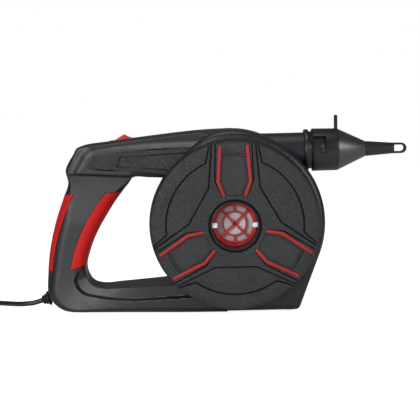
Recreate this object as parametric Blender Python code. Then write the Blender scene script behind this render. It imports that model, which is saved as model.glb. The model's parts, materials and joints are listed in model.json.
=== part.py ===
"""Hand-held mains air pump: fan drum with loop handle, outlet nozzle, mains cord and plug.

Every length in this script is in millimetres and is turned into metres when a mesh is made.
Design frame: X runs from the fan axis toward the nozzle, Y from the intake side to the motor side,
Z up from the surface that the pump stands on.
"""
import math
from collections import namedtuple

import bmesh
import bpy
from mathutils import Matrix, Vector

MM = 0.001
MERGE_M = 0.000005         # points this close are one after a Boolean

# ---------------------------------------------------------------- driving dimensions
GAP = 0.3                 # between neighbouring pieces
PARTING = GAP / 2         # each shell half stops this far from the middle plane
AXIS_Z = 80.7             # height of the fan axis
DRUM_R = 84.0
DRUM_DEPTH = 36.0         # middle plane to the drum's side face
DRUM_EDGE = 6.0           # rounding of the drum's side edge
TOE_ANGLE = -21.0         # where the drum's round leaves for the straight toe, in degrees
BASE_Z = 1.2              # underside of the shells, standing on the feet
WALL = 2.8
HANDLE_WALL = 4.8
SIDE_HOLE_R = 60.0        # round window in each drum side, under its cover

TUBE_Z = 143.5            # height of the outlet axis
TUBE_R = 16.0
TUBE_BORE = 13.6
TUBE_END = 64.9

COVER_R = 76.0
COVER_FACE_R = 74.3
COVER_FACE = 50.0         # middle plane to the cover's face
COVER_SKIN = 2.5
PORT_R = 21.6
PORT_BORE = 20.3
GRILLE_DEPTH = 29.0

MOTOR_COVER_R = 66.0
MOTOR_COVER_FACE = 46.0

SPIGOT_R = 17.0
COLLAR_R = 18.9
PIN_X = 82.0
PIN_R = 2.0
ADAPTOR_START = 72.6
ADAPTOR_SHOULDER = 95.8
ADAPTOR_R = 19.4
ADAPTOR_BORE = 17.4
TIP_START = 121.5
TIP_R = 6.85
TIP_END = 159.0
TWIST_RANGE = 35.0        # degrees from locked to free

SHAFT_R = 3.0
IMPELLER_R = 54.0
CAN_R = 24.0

ROCKER_X = -100.2
ROCKER_PIVOT_Z = 154.0

CORD_R = 2.3
COIL_MID_R = 25.0
COIL_BUNDLE = 6.9         # half the width and height of the wound bundle
COIL_X = -268.0
COIL_Y = 29.8

BOX_MIDDLE_X = -13.2912   # middle of the pump's box, its cord left out, which becomes the origin
BOX_MIDDLE_Y = -2.25

ROUND = 36                # facets of the large rounds
FINE = 16                 # facets of the small rounds

Station = namedtuple("Station", "outer inner depth outer_round inner_round")

# The loop handle, from inside the drum along the top bar, down the grip and forward along the base.
# outer and inner are the (x, z) of the silhouette edge and of the hand opening's edge.
HANDLE = [
    Station((-20.0, 163.4), (-30.0, 121.0), 20.0, 8.0, 6.0),
    Station((-70.0, 159.8), (-72.0, 122.7), 20.0, 8.0, 6.0),
    Station((-110.0, 156.0), (-92.0, 123.2), 20.0, 8.0, 7.0),
    Station((-133.0, 152.6), (-97.0, 115.6), 20.0, 8.0, 9.0),
    Station((-146.0, 144.4), (-101.5, 109.8), 19.5, 8.0, 11.0),
    Station((-153.2, 131.0), (-106.2, 104.0), 19.0, 9.0, 12.0),
    Station((-151.0, 118.5), (-110.8, 97.6), 18.2, 11.0, 13.0),
    Station((-154.8, 105.5), (-115.8, 89.8), 17.6, 13.0, 13.0),
    Station((-162.6, 84.0), (-123.6, 77.0), 17.5, 14.0, 14.0),
    Station((-168.6, 60.5), (-131.2, 61.0), 17.5, 14.0, 14.0),
    Station((-171.7, 36.0), (-136.6, 42.5), 18.0, 13.0, 14.0),
    Station((-171.6, 16.0), (-134.8, 30.6), 19.0, 10.0, 14.0),
    Station((-164.5, 4.6), (-129.3, 24.4), 20.5, 7.0, 13.0),
    Station((-148.0, BASE_Z), (-119.0, 22.2), 22.5, 5.0, 12.0),
    Station((-120.0, BASE_Z), (-106.0, 22.8), 25.0, 5.0, 11.0),
    Station((-85.0, BASE_Z), (-84.0, 23.9), 27.5, 5.0, 10.0),
    Station((-45.0, BASE_Z), (-50.0, 26.0), 29.0, 5.0, 9.0),
    Station((-8.0, BASE_Z), (-14.0, 28.0), 31.0, 5.0, 9.0),
]

HOUSING_SCREWS = [(-143.0, 11.5), (-92.0, 12.5), (47.5, 11.0), (-131.0, 136.0)]     # (x, z)
SCREW_BORE = 1.8          # for the screws' 1.5 shanks
HEAD_BORE = 3.6           # for the housing screws' 3.3 heads
HEAD_FLOOR = 9.7          # middle plane to where those heads land

# Grip pads: the handle stations where each starts and ends, and how far it wraps round each side.
REAR_PAD = (6.85, 9.95)
FRONT_PAD = (4.6, 10.15)
PAD_REACH = 14.4
PAD_DEPTH = 1.7           # let into the shells
PAD_RISE = 0.2            # above the shells
HOLLOW_SPAN = (0.1, len(HANDLE) - 2.3)     # handle stations that the hollow runs between
PAD_ENDS = 0.03           # of a station, the gap past each end of a pad
REAR_PAD_ROWS = 8
FRONT_PAD_ROWS = 12

FEET = [("rear_foot", -136.0, 14.0), ("front_foot", 49.0, 22.0)]     # name, x, half width
FOOT_HALF_LENGTH = 4.0
FOOT_TOP = BASE_Z + 1.0 - GAP

SWITCH_X = (-112.1, -88.1)
SWITCH_FLOOR = 138.0
SWITCH_HALF_WIDTH = 8.0
SWITCH_WALL = 1.1

# The six red inlays of the intake cover: (across, out) along one of three arms.
ARMS = (90, 210, 330)
STRIP_WIDTH = 3.0
STRIP_HALF = [(11.8, 70.8), (14.2, 39.3), (9.3, 26.2)]
STRIP_RISE = 0.3
STRIP_DEPTH = 1.1
HOOK_LOW = 66.0           # locating hook of the intake cover, above the fan axis
HOOK_HIGH = 68.5
HOOK_HALF_WIDTH = 6.0

MOTOR_SCREW_X = 15.5
CLAMP_SCREW_Y = 5.8
CLAMP_X = -156.0

RELIEF_ROOT = Vector((-171.2, 0.0, 12.0))
RELIEF_SLOPE = math.radians(17)
RELIEF_AXIS = Vector((-math.cos(RELIEF_SLOPE), 0.0, -math.sin(RELIEF_SLOPE)))

# Free stretch of the cord, from the strain relief to the coil, as (x, y, z).
CORD_ROUTE = [(-184.9, 0.0, 7.9), (-188.0, 0.0, 7.3), (-191.5, 0.3, 6.8), (-195.5, 1.5, 6.3),
              (-199.5, 3.7, 5.8), (-203.1, 6.6, 5.3), (-206.8, 10.2, 4.8), (-211.0, 14.4, 4.3),
              (-215.0, 18.5, 3.8), (-219.0, 22.5, 3.3), (-223.0, 26.6, 2.8), (-227.0, 30.6, 2.45),
              (-230.8, 34.4, 2.35), (-234.6, 38.2, 2.35)]
# Last stretch, from the coil to the plug.
TAIL_ROUTE = [(-297.6, 12.5, 2.35), (-297.6, 9.0, 2.5), (-297.6, 5.5, 3.2), (-297.6, 2.0, 4.4),
              (-297.6, -1.5, 5.7), (-297.6, -5.0, 6.6), (-297.6, -8.0, 6.8)]
PLUG_X = -297.6
PLUG_REAR_Y = -20.5       # rear of the plug's body; its relief reaches back to the tail
PLUG_HALF_HEIGHT = 6.8
PLUG_HALF_WIDTH = 17.6
PLUG_LENGTH = 35.0
PLUG_PIN_X = 9.3          # each pin from the plug's middle
PLUG_PIN_R = 2.0
PLUG_PIN_LENGTH = 19.0

FACING_INTAKE = (math.pi / 2, 0, 0)     # local +Z points to -Y
FACING_MOTOR = (-math.pi / 2, 0, 0)     # local +Z points to +Y
FACING_NOZZLE = (0, math.pi / 2, 0)     # local +Z points to +X
FAN_AXIS = (0, 0, AXIS_Z)
OUTLET_AXIS = (0, 0, TUBE_Z)


# ---------------------------------------------------------------- scene and materials
def clear_scene():
    for old in list(bpy.data.objects):
        bpy.data.objects.remove(old, do_unlink=True)


def material(name, colour, roughness, metallic=0.0):
    made = bpy.data.materials.new(name)
    made.use_nodes = True
    shader = made.node_tree.nodes["Principled BSDF"]
    shader.inputs["Base Color"].default_value = (*colour, 1.0)
    shader.inputs["Roughness"].default_value = roughness
    shader.inputs["Metallic"].default_value = metallic
    made.diffuse_color = (*colour, 1.0)
    return made


clear_scene()
BLACK_ABS = material("black_abs", (0.045, 0.047, 0.052), 0.45)
COVER_ABS = material("cover_abs", (0.055, 0.057, 0.062), 0.55)
NOZZLE_PLASTIC = material("nozzle_plastic", (0.040, 0.041, 0.045), 0.40)
RED_RUBBER = material("red_rubber", (0.52, 0.035, 0.035), 0.60)
RED_PLASTIC = material("red_plastic", (0.60, 0.030, 0.030), 0.35)
BLACK_RUBBER = material("black_rubber", (0.020, 0.020, 0.022), 0.75)
CORD_PVC = material("cord_pvc", (0.018, 0.018, 0.020), 0.50)
SWITCH_NYLON = material("switch_nylon", (0.030, 0.030, 0.032), 0.50)
FAN_PLASTIC = material("fan_plastic", (0.62, 0.63, 0.64), 0.45)
GREY_PLASTIC = material("grey_plastic", (0.34, 0.35, 0.36), 0.50)
STEEL = material("steel", (0.55, 0.56, 0.58), 0.30, 1.0)
ZINC_STEEL = material("zinc_steel", (0.62, 0.63, 0.66), 0.38, 1.0)
BRONZE = material("bronze", (0.55, 0.33, 0.14), 0.35, 1.0)
BRASS = material("brass", (0.78, 0.60, 0.28), 0.28, 1.0)
COPPER = material("copper", (0.72, 0.32, 0.16), 0.35, 1.0)
FERRITE = material("ferrite", (0.09, 0.09, 0.095), 0.70)
CARBON = material("carbon", (0.05, 0.05, 0.05), 0.60)
BOARD = material("board", (0.05, 0.20, 0.09), 0.55)

ASSEMBLY = bpy.data.objects.new("assembly", None)
ASSEMBLY.location = (-BOX_MIDDLE_X * MM, -BOX_MIDDLE_Y * MM, 0)
bpy.context.collection.objects.link(ASSEMBLY)


# ---------------------------------------------------------------- modelling helpers
def finish(name, bm, finish_material, location=(0, 0, 0), rotation=None, parent=ASSEMBLY):
    """Turn a bmesh in millimetres into a placed object in metres."""
    bmesh.ops.remove_doubles(bm, verts=bm.verts, dist=0.001)
    bmesh.ops.recalc_face_normals(bm, faces=bm.faces)
    bmesh.ops.scale(bm, vec=(MM, MM, MM), verts=bm.verts)
    mesh = bpy.data.meshes.new(name)
    bm.to_mesh(mesh)
    bm.free()
    mesh.materials.append(finish_material)
    made = bpy.data.objects.new(name, mesh)
    bpy.context.collection.objects.link(made)
    made.parent = parent
    made.location = Vector(location) * MM
    if rotation is not None:
        made.rotation_euler = rotation
    bpy.context.view_layer.update()
    return made


def combine(target, tool, operation):
    """Apply one exact Boolean with the tool object, then drop the tool."""
    step = target.modifiers.new(operation.lower(), "BOOLEAN")
    step.operation = operation
    step.solver = "EXACT"
    step.object = tool
    depsgraph = bpy.context.evaluated_depsgraph_get()
    depsgraph.update()
    baked = bpy.data.meshes.new_from_object(target.evaluated_get(depsgraph))
    bm = bmesh.new()
    bm.from_mesh(baked)
    bmesh.ops.remove_doubles(bm, verts=bm.verts, dist=MERGE_M)
    bm.to_mesh(baked)
    bm.free()
    target.modifiers.remove(step)
    plain = target.data
    target.data = baked
    bpy.data.meshes.remove(plain)
    bpy.data.objects.remove(tool, do_unlink=True)


def cut(target, tool):
    combine(target, tool, "DIFFERENCE")


def fuse(target, tool):
    combine(target, tool, "UNION")


def loft(bm, loops, closed_ends=True):
    """Skin equal loops of points; the ends are capped, or the last loop joins the first."""
    rows = [[bm.verts.new(point) for point in loop] for loop in loops]
    pairs = list(zip(rows, rows[1:]))
    if not closed_ends:
        pairs.append((rows[-1], rows[0]))
    count = len(rows[0])
    for row, following in pairs:
        for index in range(count):
            after = (index + 1) % count
            bm.faces.new((row[index], row[after], following[after], following[index]))
    if closed_ends:
        bm.faces.new(list(reversed(rows[0])))
        bm.faces.new(rows[-1])


def lofted(name, loops, finish_material, closed_ends=True, **placing):
    bm = bmesh.new()
    loft(bm, loops, closed_ends)
    bmesh.ops.triangulate(bm, faces=bm.faces)
    return finish(name, bm, finish_material, **placing)


def turned(bm, profile, facets=FINE, ring=True):
    """Spin a profile of (radius, height) points about Z.

    A ring's profile is a closed outline; a solid's runs from the axis to the axis.
    """
    verts = [bm.verts.new((radius, 0, height)) for radius, height in profile]
    edges = [bm.edges.new(pair) for pair in zip(verts, verts[1:])]
    if ring:
        edges.append(bm.edges.new((verts[-1], verts[0])))
    bmesh.ops.spin(bm, geom=verts + edges, cent=(0, 0, 0), axis=(0, 0, 1), dvec=(0, 0, 0),
                   angle=math.tau, steps=facets, use_merge=True, use_duplicate=False)
    bmesh.ops.remove_doubles(bm, verts=bm.verts, dist=0.001)


def turned_object(name, profile, finish_material, facets=FINE, ring=True, **placing):
    bm = bmesh.new()
    turned(bm, profile, facets, ring)
    return finish(name, bm, finish_material, **placing)


def prism(bm, outline, low, high, axis="Y"):
    """Extrude a closed outline along Y, from (x, z) points, or along Z, from (x, y) points."""
    if axis == "Y":
        near = [bm.verts.new((x, low, z)) for x, z in outline]
        step = (0, high - low, 0)
    else:
        near = [bm.verts.new((x, y, low)) for x, y in outline]
        step = (0, 0, high - low)
    face = bm.faces.new(near)
    made = bmesh.ops.extrude_face_region(bm, geom=[face], use_keep_orig=True)
    moved = [item for item in made["geom"] if isinstance(item, bmesh.types.BMVert)]
    bmesh.ops.translate(bm, verts=moved, vec=step)


def prism_object(name, outlines, low, high, finish_material, axis="Y", **placing):
    bm = bmesh.new()
    for outline in outlines:
        prism(bm, outline, low, high, axis)
    return finish(name, bm, finish_material, **placing)


def block(bm, low, high):
    centre = (Vector(low) + Vector(high)) / 2
    size = Vector(high) - Vector(low)
    matrix = Matrix.Translation(centre) @ Matrix.Diagonal((*size, 1.0))
    bmesh.ops.create_cube(bm, size=1.0, matrix=matrix)


def blocks_object(name, corners, finish_material, **placing):
    bm = bmesh.new()
    for low, high in corners:
        block(bm, low, high)
    return finish(name, bm, finish_material, **placing)


def rod(bm, start, end, radius, facets=FINE):
    """A closed cylinder between two points."""
    start = Vector(start)
    axis = Vector(end) - start
    turn = Vector((0, 0, 1)).rotation_difference(axis).to_matrix().to_4x4()
    matrix = Matrix.Translation(start + axis / 2) @ turn
    bmesh.ops.create_cone(bm, cap_ends=True, segments=facets, radius1=radius, radius2=radius,
                          depth=axis.length, matrix=matrix)


def rods_object(name, rods, finish_material, facets=FINE, **placing):
    bm = bmesh.new()
    for start, end, radius in rods:
        rod(bm, start, end, radius, facets)
    return finish(name, bm, finish_material, **placing)


def arc(centre, radius, start, end, steps):
    """Points on an arc in a plane, angles in degrees, both ends included."""
    points = []
    for index in range(steps + 1):
        angle = math.radians(start + (end - start) * index / steps)
        points.append((centre[0] + radius * math.cos(angle), centre[1] + radius * math.sin(angle)))
    return points


def lead(name, route, radius, finish_material, resolution=2):
    """A wire or cord: a bevelled curve with filled caps along a smooth route."""
    curve = bpy.data.curves.new(name, "CURVE")
    curve.dimensions = "3D"
    curve.bevel_depth = radius * MM
    curve.bevel_resolution = resolution
    curve.use_fill_caps = True
    spline = curve.splines.new("POLY")
    spline.points.add(len(route) - 1)
    for point, place in zip(spline.points, route):
        point.co = (*(Vector(place) * MM), 1.0)
    curve.materials.append(finish_material)
    made = bpy.data.objects.new(name, curve)
    bpy.context.collection.objects.link(made)
    made.parent = ASSEMBLY
    return made


def blend(before, start, end, after, share):
    """Catmull-Rom value between start and end."""
    cubic = 3 * (start - end) + after - before
    square = 2 * before - 5 * start + 4 * end - after
    return start + 0.5 * share * (end - before + share * (square + share * cubic))


def smooth_route(points, steps):
    """A smooth curve through hand-chosen points, with steps points to each span."""
    places = [Vector(point) for point in points]
    padded = [2 * places[0] - places[1]] + places + [2 * places[-1] - places[-2]]
    route = []
    for index in range(len(places) - 1):
        around = padded[index:index + 4]
        for step in range(steps):
            route.append(blend(*around, step / steps))
    route.append(places[-1])
    return route


# ---------------------------------------------------------------- handle sections
def handle_station(place):
    """The handle's station at a fractional index, with every field smoothly blended."""
    index = min(int(place), len(HANDLE) - 2)
    share = place - index
    around = [HANDLE[max(0, min(len(HANDLE) - 1, index + shift))] for shift in (-1, 0, 1, 2)]
    outer = blend(*[Vector(station.outer) for station in around], share)
    inner = blend(*[Vector(station.inner) for station in around], share)
    outer.y = max(outer.y, BASE_Z)
    depth = blend(*[station.depth for station in around], share)
    outer_round = blend(*[station.outer_round for station in around], share)
    inner_round = blend(*[station.inner_round for station in around], share)
    return Station(outer, inner, depth, outer_round, inner_round)


def across(station, along, out, side):
    """A point of the section: along from the outer edge, out from the middle plane."""
    line = (station.inner - station.outer).normalized()
    place = station.outer + line * along
    return Vector((place.x, side * out, place.y))


def outer_corner(station, inset, steps=2):
    """(along, out) points round the silhouette edge, from the middle plane to the side face."""
    radius = station.outer_round - inset
    centre = (station.outer_round, station.depth - station.outer_round)
    return arc(centre, radius, 180, 90, steps)


def inner_corner(station, inset, steps=2):
    """(along, out) points round the opening's edge, from the side face to the middle plane."""
    width = (station.inner - station.outer).length
    radius = station.inner_round - inset
    centre = (width - station.inner_round, station.depth - station.inner_round)
    return arc(centre, radius, 90, 0, steps)


def half_section(place, inset, middle, side, steps=2):
    """Closed half section of the handle at a station, inset all round from its surface."""
    station = handle_station(place)
    width = (station.inner - station.outer).length
    points = [(inset, middle)] + outer_corner(station, inset, steps)
    points += inner_corner(station, inset, steps) + [(width - inset, middle)]
    return [across(station, along, out, side) for along, out in points]


def handle_solid(name, inset, middle, side, start, end, count, steps=2):
    places = [start + (end - start) * index / (count - 1) for index in range(count)]
    loops = [half_section(place, inset, middle, side, steps) for place in places]
    return lofted(name, loops, BLACK_ABS)


def band_section(place, reach, outside, inside, rear):
    """Closed C section of a grip pad, wrapped over the rear or the finger edge of the grip."""
    station = handle_station(place)
    width = (station.inner - station.outer).length

    def wrapped(inset):
        if rear:
            corner = outer_corner(station, inset)
            ends = [(max(reach, station.outer_round + 0.4), station.depth - inset)]
            return ends + list(reversed(corner)) + [(inset, 0.0)]
        corner = inner_corner(station, inset)
        ends = [(width - max(reach, station.inner_round + 0.4), station.depth - inset)]
        return ends + corner + [(width - inset, 0.0)]

    skin = wrapped(outside)
    lining = wrapped(inside)
    loop = [across(station, along, out, -1) for along, out in skin]
    loop += [across(station, along, out, 1) for along, out in reversed(skin[:-1])]
    loop += [across(station, along, out, 1) for along, out in lining[:-1]]
    loop += [across(station, along, out, -1) for along, out in reversed(lining)]
    return loop


def grip_band(name, span, reach, outside, inside, rear, finish_material, count, ends=0.0):
    """A pad along the grip, or the pocket that it lies in, when it is grown past its ends."""
    start, end = span
    places = [start + (end - start) * index / (count - 1) for index in range(count)]
    if ends:
        places = [start - ends] + places[1:-1] + [end + ends]
    loops = [band_section(place, reach, outside, inside, rear) for place in places]
    return lofted(name, loops, finish_material)


# ---------------------------------------------------------------- shells
def drum_outline(inset):
    """Drum silhouette: round, with a straight toe and a flat base, inset all round."""
    radius = DRUM_R - inset
    floor = BASE_Z + inset
    base_angle = 180 + math.degrees(math.asin((AXIS_Z - floor) / radius))
    outline = arc((0, AXIS_Z), radius, TOE_ANGLE, base_angle, ROUND - 4)
    toe = math.radians(TOE_ANGLE)
    tangent = Vector((math.sin(toe), -math.cos(toe)))
    start = Vector((radius * math.cos(toe), AXIS_Z + radius * math.sin(toe)))
    corner = start + tangent * ((floor - start.y) / tangent.y)
    outline.append(tuple(corner - Vector((2.5, 0))))
    outline.append(tuple(corner - tangent * 1.0 - Vector((0.6, 0))))
    outline.append(tuple(corner - tangent * 3.0))
    return outline


def drum_loop(inset, out, side):
    return [Vector((x, side * out, z)) for x, z in drum_outline(inset)]


def half_round(radius, x, middle, side, steps=10):
    """Half disc across the outlet axis, on one side of the middle plane."""
    start = math.degrees(math.asin(middle / radius))
    points = arc((0, 0), radius, start, 180 - start, steps)
    return [Vector((x, side * out, TUBE_Z + up)) for up, out in points]


def shell_half(name, side):
    """One half of the clam shell: drum, handle and outlet tube, hollowed, with its pockets."""
    levels = [(0.0, PARTING), (0.7, DRUM_DEPTH - DRUM_EDGE)]
    for turn in (45, 90):
        angle = math.radians(turn)
        out = DRUM_DEPTH - DRUM_EDGE * (1 - math.sin(angle))
        levels.append((0.7 + DRUM_EDGE * (1 - math.cos(angle)), out))
    shell = lofted(name, [drum_loop(inset, out, side) for inset, out in levels], BLACK_ABS)
    fuse(shell, handle_solid("handle", 0.0, PARTING, side, 0, len(HANDLE) - 1, 29, 3))
    tube = [half_round(TUBE_R, x, PARTING, side) for x in (0.0, TUBE_END)]
    fuse(shell, lofted("tube", tube, BLACK_ABS))

    chamber = [drum_loop(WALL, out, side) for out in (-1.0, DRUM_DEPTH - WALL)]
    cut(shell, lofted("chamber", chamber, BLACK_ABS))
    bore = [half_round_full(TUBE_BORE, x, side) for x in (-2.0, TUBE_END + 1)]
    cut(shell, lofted("bore", bore, BLACK_ABS))
    cut(shell, rods_object("window", [((0, 0, AXIS_Z), (0, side * 40, AXIS_Z), SIDE_HOLE_R)],
                           BLACK_ABS, ROUND))
    cut(shell, handle_solid("hollow", HANDLE_WALL, -1.0, side, *HOLLOW_SPAN, 20, 1))
    for x, z in HOUSING_SCREWS:
        add_boss(shell, x, z, side)
    open_pockets(shell, side)
    return shell


def half_round_full(radius, x, side, steps=8):
    """Half disc that also passes the middle plane, for cutting a bore."""
    points = arc((0, 0), radius, -4, 184, steps)
    return [Vector((x, side * out, TUBE_Z + up)) for up, out in points]


def side_depth(x, z):
    """Depth of the outside face where a housing screw sits."""
    if math.hypot(x, z - AXIS_Z) < DRUM_R or x > 0:
        return DRUM_DEPTH
    nearest = min(HANDLE, key=lambda s: math.hypot((s.outer[0] + s.inner[0]) / 2 - x,
                                                   (s.outer[1] + s.inner[1]) / 2 - z))
    return nearest.depth


def add_boss(shell, x, z, side):
    """A screw post from the parting plane to the side wall, drilled for its screw."""
    depth = side_depth(x, z)
    post = [((x, side * PARTING, z), (x, side * (depth - 1.5), z), 4.2)]
    fuse(shell, rods_object("post", post, BLACK_ABS, 16))
    if side > 0:
        bores = [((x, -1, z), (x, depth + 1, z), SCREW_BORE)]
        bores.append(((x, HEAD_FLOOR, z), (x, depth + 1, z), HEAD_BORE))
    else:
        bores = [((x, 1, z), (x, -14.4, z), SCREW_BORE)]
    for start, end, radius in bores:
        cut(shell, rods_object("drill", [(start, end, radius)], BLACK_ABS, 16))


def open_pockets(shell, side):
    """Pockets for the pads, switch, strain relief, feet and cover hooks."""
    near, far = SWITCH_X[0] - GAP, SWITCH_X[1] + GAP
    reach = SWITCH_HALF_WIDTH + GAP
    cut(shell, blocks_object("slot", [((near, -reach, 130.0), (far, reach, 170.0))], BLACK_ABS))
    for start, end, radius in ((-14, 8, 4.5), (-14, -4.3, 6.5)):
        hole = (relief_point(start), relief_point(end), radius)
        cut(shell, rods_object("cord_hole", [hole], BLACK_ABS))
    clearance = ((TUBE_END + 0.12, 0, TUBE_Z), (90, 0, TUBE_Z), ADAPTOR_R + 0.6)
    cut(shell, rods_object("nozzle_clearance", [clearance], BLACK_ABS, 32))
    for name, x, half_width in FEET:
        reach = half_width + GAP
        along = FOOT_HALF_LENGTH + GAP
        pocket = ((x - along, -reach, -1), (x + along, reach, FOOT_TOP + GAP))
        cut(shell, blocks_object("foot_pocket", [pocket], BLACK_ABS))
    if side < 0:
        cut(shell, blocks_object("hook_slots", [hook_block(1.0)], BLACK_ABS))
    for rear, span, count in ((True, REAR_PAD, REAR_PAD_ROWS), (False, FRONT_PAD, FRONT_PAD_ROWS)):
        cut(shell, grip_band("pocket", span, PAD_REACH + GAP, -2.0, PAD_DEPTH + GAP, rear, BLACK_ABS,
                             count, PAD_ENDS))


def relief_point(along):
    return RELIEF_ROOT + RELIEF_AXIS * along


def hook_block(grown):
    """The locating hook of the intake cover at the top of the drum, grown for its slot."""
    reach = HOOK_HALF_WIDTH + grown
    return ((-reach, -39, AXIS_Z + HOOK_LOW - grown), (reach, -32.9, AXIS_Z + HOOK_HIGH + grown))


# ---------------------------------------------------------------- covers and intake
def offset_path(points, width):
    """Closed outline of a band along an open path, mitred at its bends."""
    left, right = [], []
    for index, point in enumerate(points):
        here = Vector(point)
        ahead = (Vector(points[min(index + 1, len(points) - 1)]) - here)
        behind = (here - Vector(points[max(index - 1, 0)]))
        steps = [step.normalized() for step in (behind, ahead) if step.length > 0]
        tangent = sum(steps, Vector((0, 0))).normalized()
        normal = Vector((-tangent.y, tangent.x))
        reach = width / 2 / normal.dot(Vector((-steps[0].y, steps[0].x)))
        left.append(tuple(here + normal * reach))
        right.append(tuple(here - normal * reach))
    return left + list(reversed(right))


def strip_outlines(width, stretch):
    """The six inlays: one pair along each arm, as (x, z) outlines round the fan axis."""
    outlines = []
    for arm in ARMS:
        along = Vector((math.cos(math.radians(arm)), math.sin(math.radians(arm))))
        sideways = Vector((-along.y, along.x))
        for hand in (-1, 1):
            path = [along * (out + (stretch if index == 0 else 0) - (stretch if index == 2 else 0))
                    + sideways * across_arm * hand
                    for index, (across_arm, out) in enumerate(STRIP_HALF)]
            outline = offset_path(path, width)
            outlines.append([(x, z + AXIS_Z) for x, z in outline])
    return outlines


def make_strips():
    """Red inlays of the intake cover."""
    for number, outline in enumerate(strip_outlines(STRIP_WIDTH, 0), 1):
        prism_object(f"accent_strip_{number}", [outline], -COVER_FACE - STRIP_RISE,
                     -COVER_FACE + STRIP_DEPTH, RED_RUBBER)


def make_cover():
    """Dished intake cover with a rounded rim, a hole for the port, strip pockets and a hook."""
    foot = DRUM_DEPTH + GAP
    inside = COVER_FACE - COVER_SKIN
    hole = PORT_R + GAP
    profile = [(hole, inside), (hole, COVER_FACE - 0.4), (hole + 6, COVER_FACE), (66, COVER_FACE)]
    profile += [(COVER_FACE_R - 2.4, COVER_FACE - 0.5), (COVER_FACE_R - 0.4, COVER_FACE - 2.4)]
    profile += [(COVER_R, foot), (COVER_R - 2.4, foot), (COVER_FACE_R - 3.4, inside - 1.2)]
    profile += [(67, inside)]
    cover = turned_object("intake_cover", profile, COVER_ABS, ROUND,
                          location=FAN_AXIS, rotation=FACING_INTAKE)
    cut(cover, prism_object("pockets", strip_outlines(STRIP_WIDTH + 2 * GAP, GAP),
                            -COVER_FACE - 1, -COVER_FACE + STRIP_DEPTH + GAP, COVER_ABS))
    stem = ((-HOOK_HALF_WIDTH, -inside - 0.5, AXIS_Z + HOOK_LOW),
            (HOOK_HALF_WIDTH, -33.5, AXIS_Z + HOOK_HIGH))
    fuse(cover, blocks_object("stem", [stem], COVER_ABS))


def sector(bm, inner, outer, start, end, low, high, steps=4):
    """A closed block of a ring between two angles, extruded along Z."""
    outline = arc((0, 0), outer, start, end, steps) + arc((0, 0), inner, end, start, steps)
    prism(bm, outline, low, high, "Z")


def make_grille():
    """Red intake grille: a sloped dish with spokes and two rings."""
    low, high = GRILLE_DEPTH, GRILLE_DEPTH + 1.8
    profile = [(0.0, low), (20.0, low), (20.0, low + 6.5), (18.6, low + 6.5), (15.6, high), (0.0, high)]
    grille = turned_object("intake_grille", profile, RED_PLASTIC, 24, ring=False,
                           location=FAN_AXIS, rotation=FACING_INTAKE)
    bm = bmesh.new()
    spoke = 1.7
    for start, end in ((-45, 45), (45, 90), (90, 135), (135, 225), (225, 270), (270, 315)):
        slack = math.degrees(spoke / 2 / 13)
        sector(bm, 11.3, 15.0, start + slack, end - slack, low - 1, high + 1)
    for start in (-45, 45, 135, 225):
        slack = math.degrees(spoke / 2 / 6)
        sector(bm, 2.6, 9.6, start + slack, start + 90 - slack, low - 1, high + 1)
    cut(grille, finish("apertures", bm, RED_PLASTIC, location=FAN_AXIS, rotation=FACING_INTAKE))
    return grille


def make_port():
    """Bayonet ring of the intake: it passes the cover and opens in front of the impeller."""
    profile = [(PORT_BORE, 27.6), (PORT_R, 27.6), (PORT_R, COVER_FACE + 0.5)]
    profile += [(PORT_BORE + 0.5, COVER_FACE + 0.5), (PORT_BORE, COVER_FACE)]
    port = turned_object("intake_port", profile, BLACK_ABS, 32,
                         location=FAN_AXIS, rotation=FACING_INTAKE)
    notches = []
    for x in (-PORT_R, PORT_R):
        notches.append(((x - 3, -COVER_FACE + 1.5, AXIS_Z - 2), (x + 3, -38, AXIS_Z + 2)))
    cut(port, blocks_object("notches", notches, BLACK_ABS))
    return port


def make_motor_cover():
    """Dished cover of the motor side, with radial vents and a cage for the motor ring."""
    foot = DRUM_DEPTH + GAP
    skin = MOTOR_COVER_FACE - 2.2
    profile = [(0.0, MOTOR_COVER_FACE), (58.0, MOTOR_COVER_FACE), (62.0, MOTOR_COVER_FACE - 1.5)]
    profile += [(64.5, MOTOR_COVER_FACE - 4.5), (MOTOR_COVER_R, foot), (MOTOR_COVER_R - 2.2, foot)]
    profile += [(60.5, skin), (31.0, skin), (31.0, 20.0), (28.6, 20.0), (28.6, skin), (0.0, skin)]
    cover = turned_object("motor_cover", profile, BLACK_ABS, 36, ring=False,
                          location=FAN_AXIS, rotation=FACING_MOTOR)
    bm = bmesh.new()
    vents = 16
    for index in range(vents):
        middle = 360 * index / vents
        sector(bm, 34.0, 54.0, middle - 3.2, middle + 3.2, skin - 1, MOTOR_COVER_FACE + 1, 1)
    cut(cover, finish("vents", bm, BLACK_ABS, location=FAN_AXIS, rotation=FACING_MOTOR))
    return cover


# ---------------------------------------------------------------- fan and motor
def make_fan_scroll():
    """Spiral wall that gathers the air and leads it to the outlet tube."""
    tongue, turn, start_r, end_r, thick = 52.0, 322.0, 57.5, 75.6, 1.8
    outside, inside = [], []
    steps = 30
    for index in range(steps + 1):
        share = index / steps
        angle = math.radians(tongue - turn * share)
        radius = start_r + (end_r - start_r) * share
        outside.append((radius * math.cos(angle), AXIS_Z + radius * math.sin(angle)))
        inner = radius - thick
        inside.append((inner * math.cos(angle), AXIS_Z + inner * math.sin(angle)))
    outline = outside + list(reversed(inside))
    return prism_object("fan_scroll", [outline], -30.3, -5.4, GREY_PLASTIC)


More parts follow.
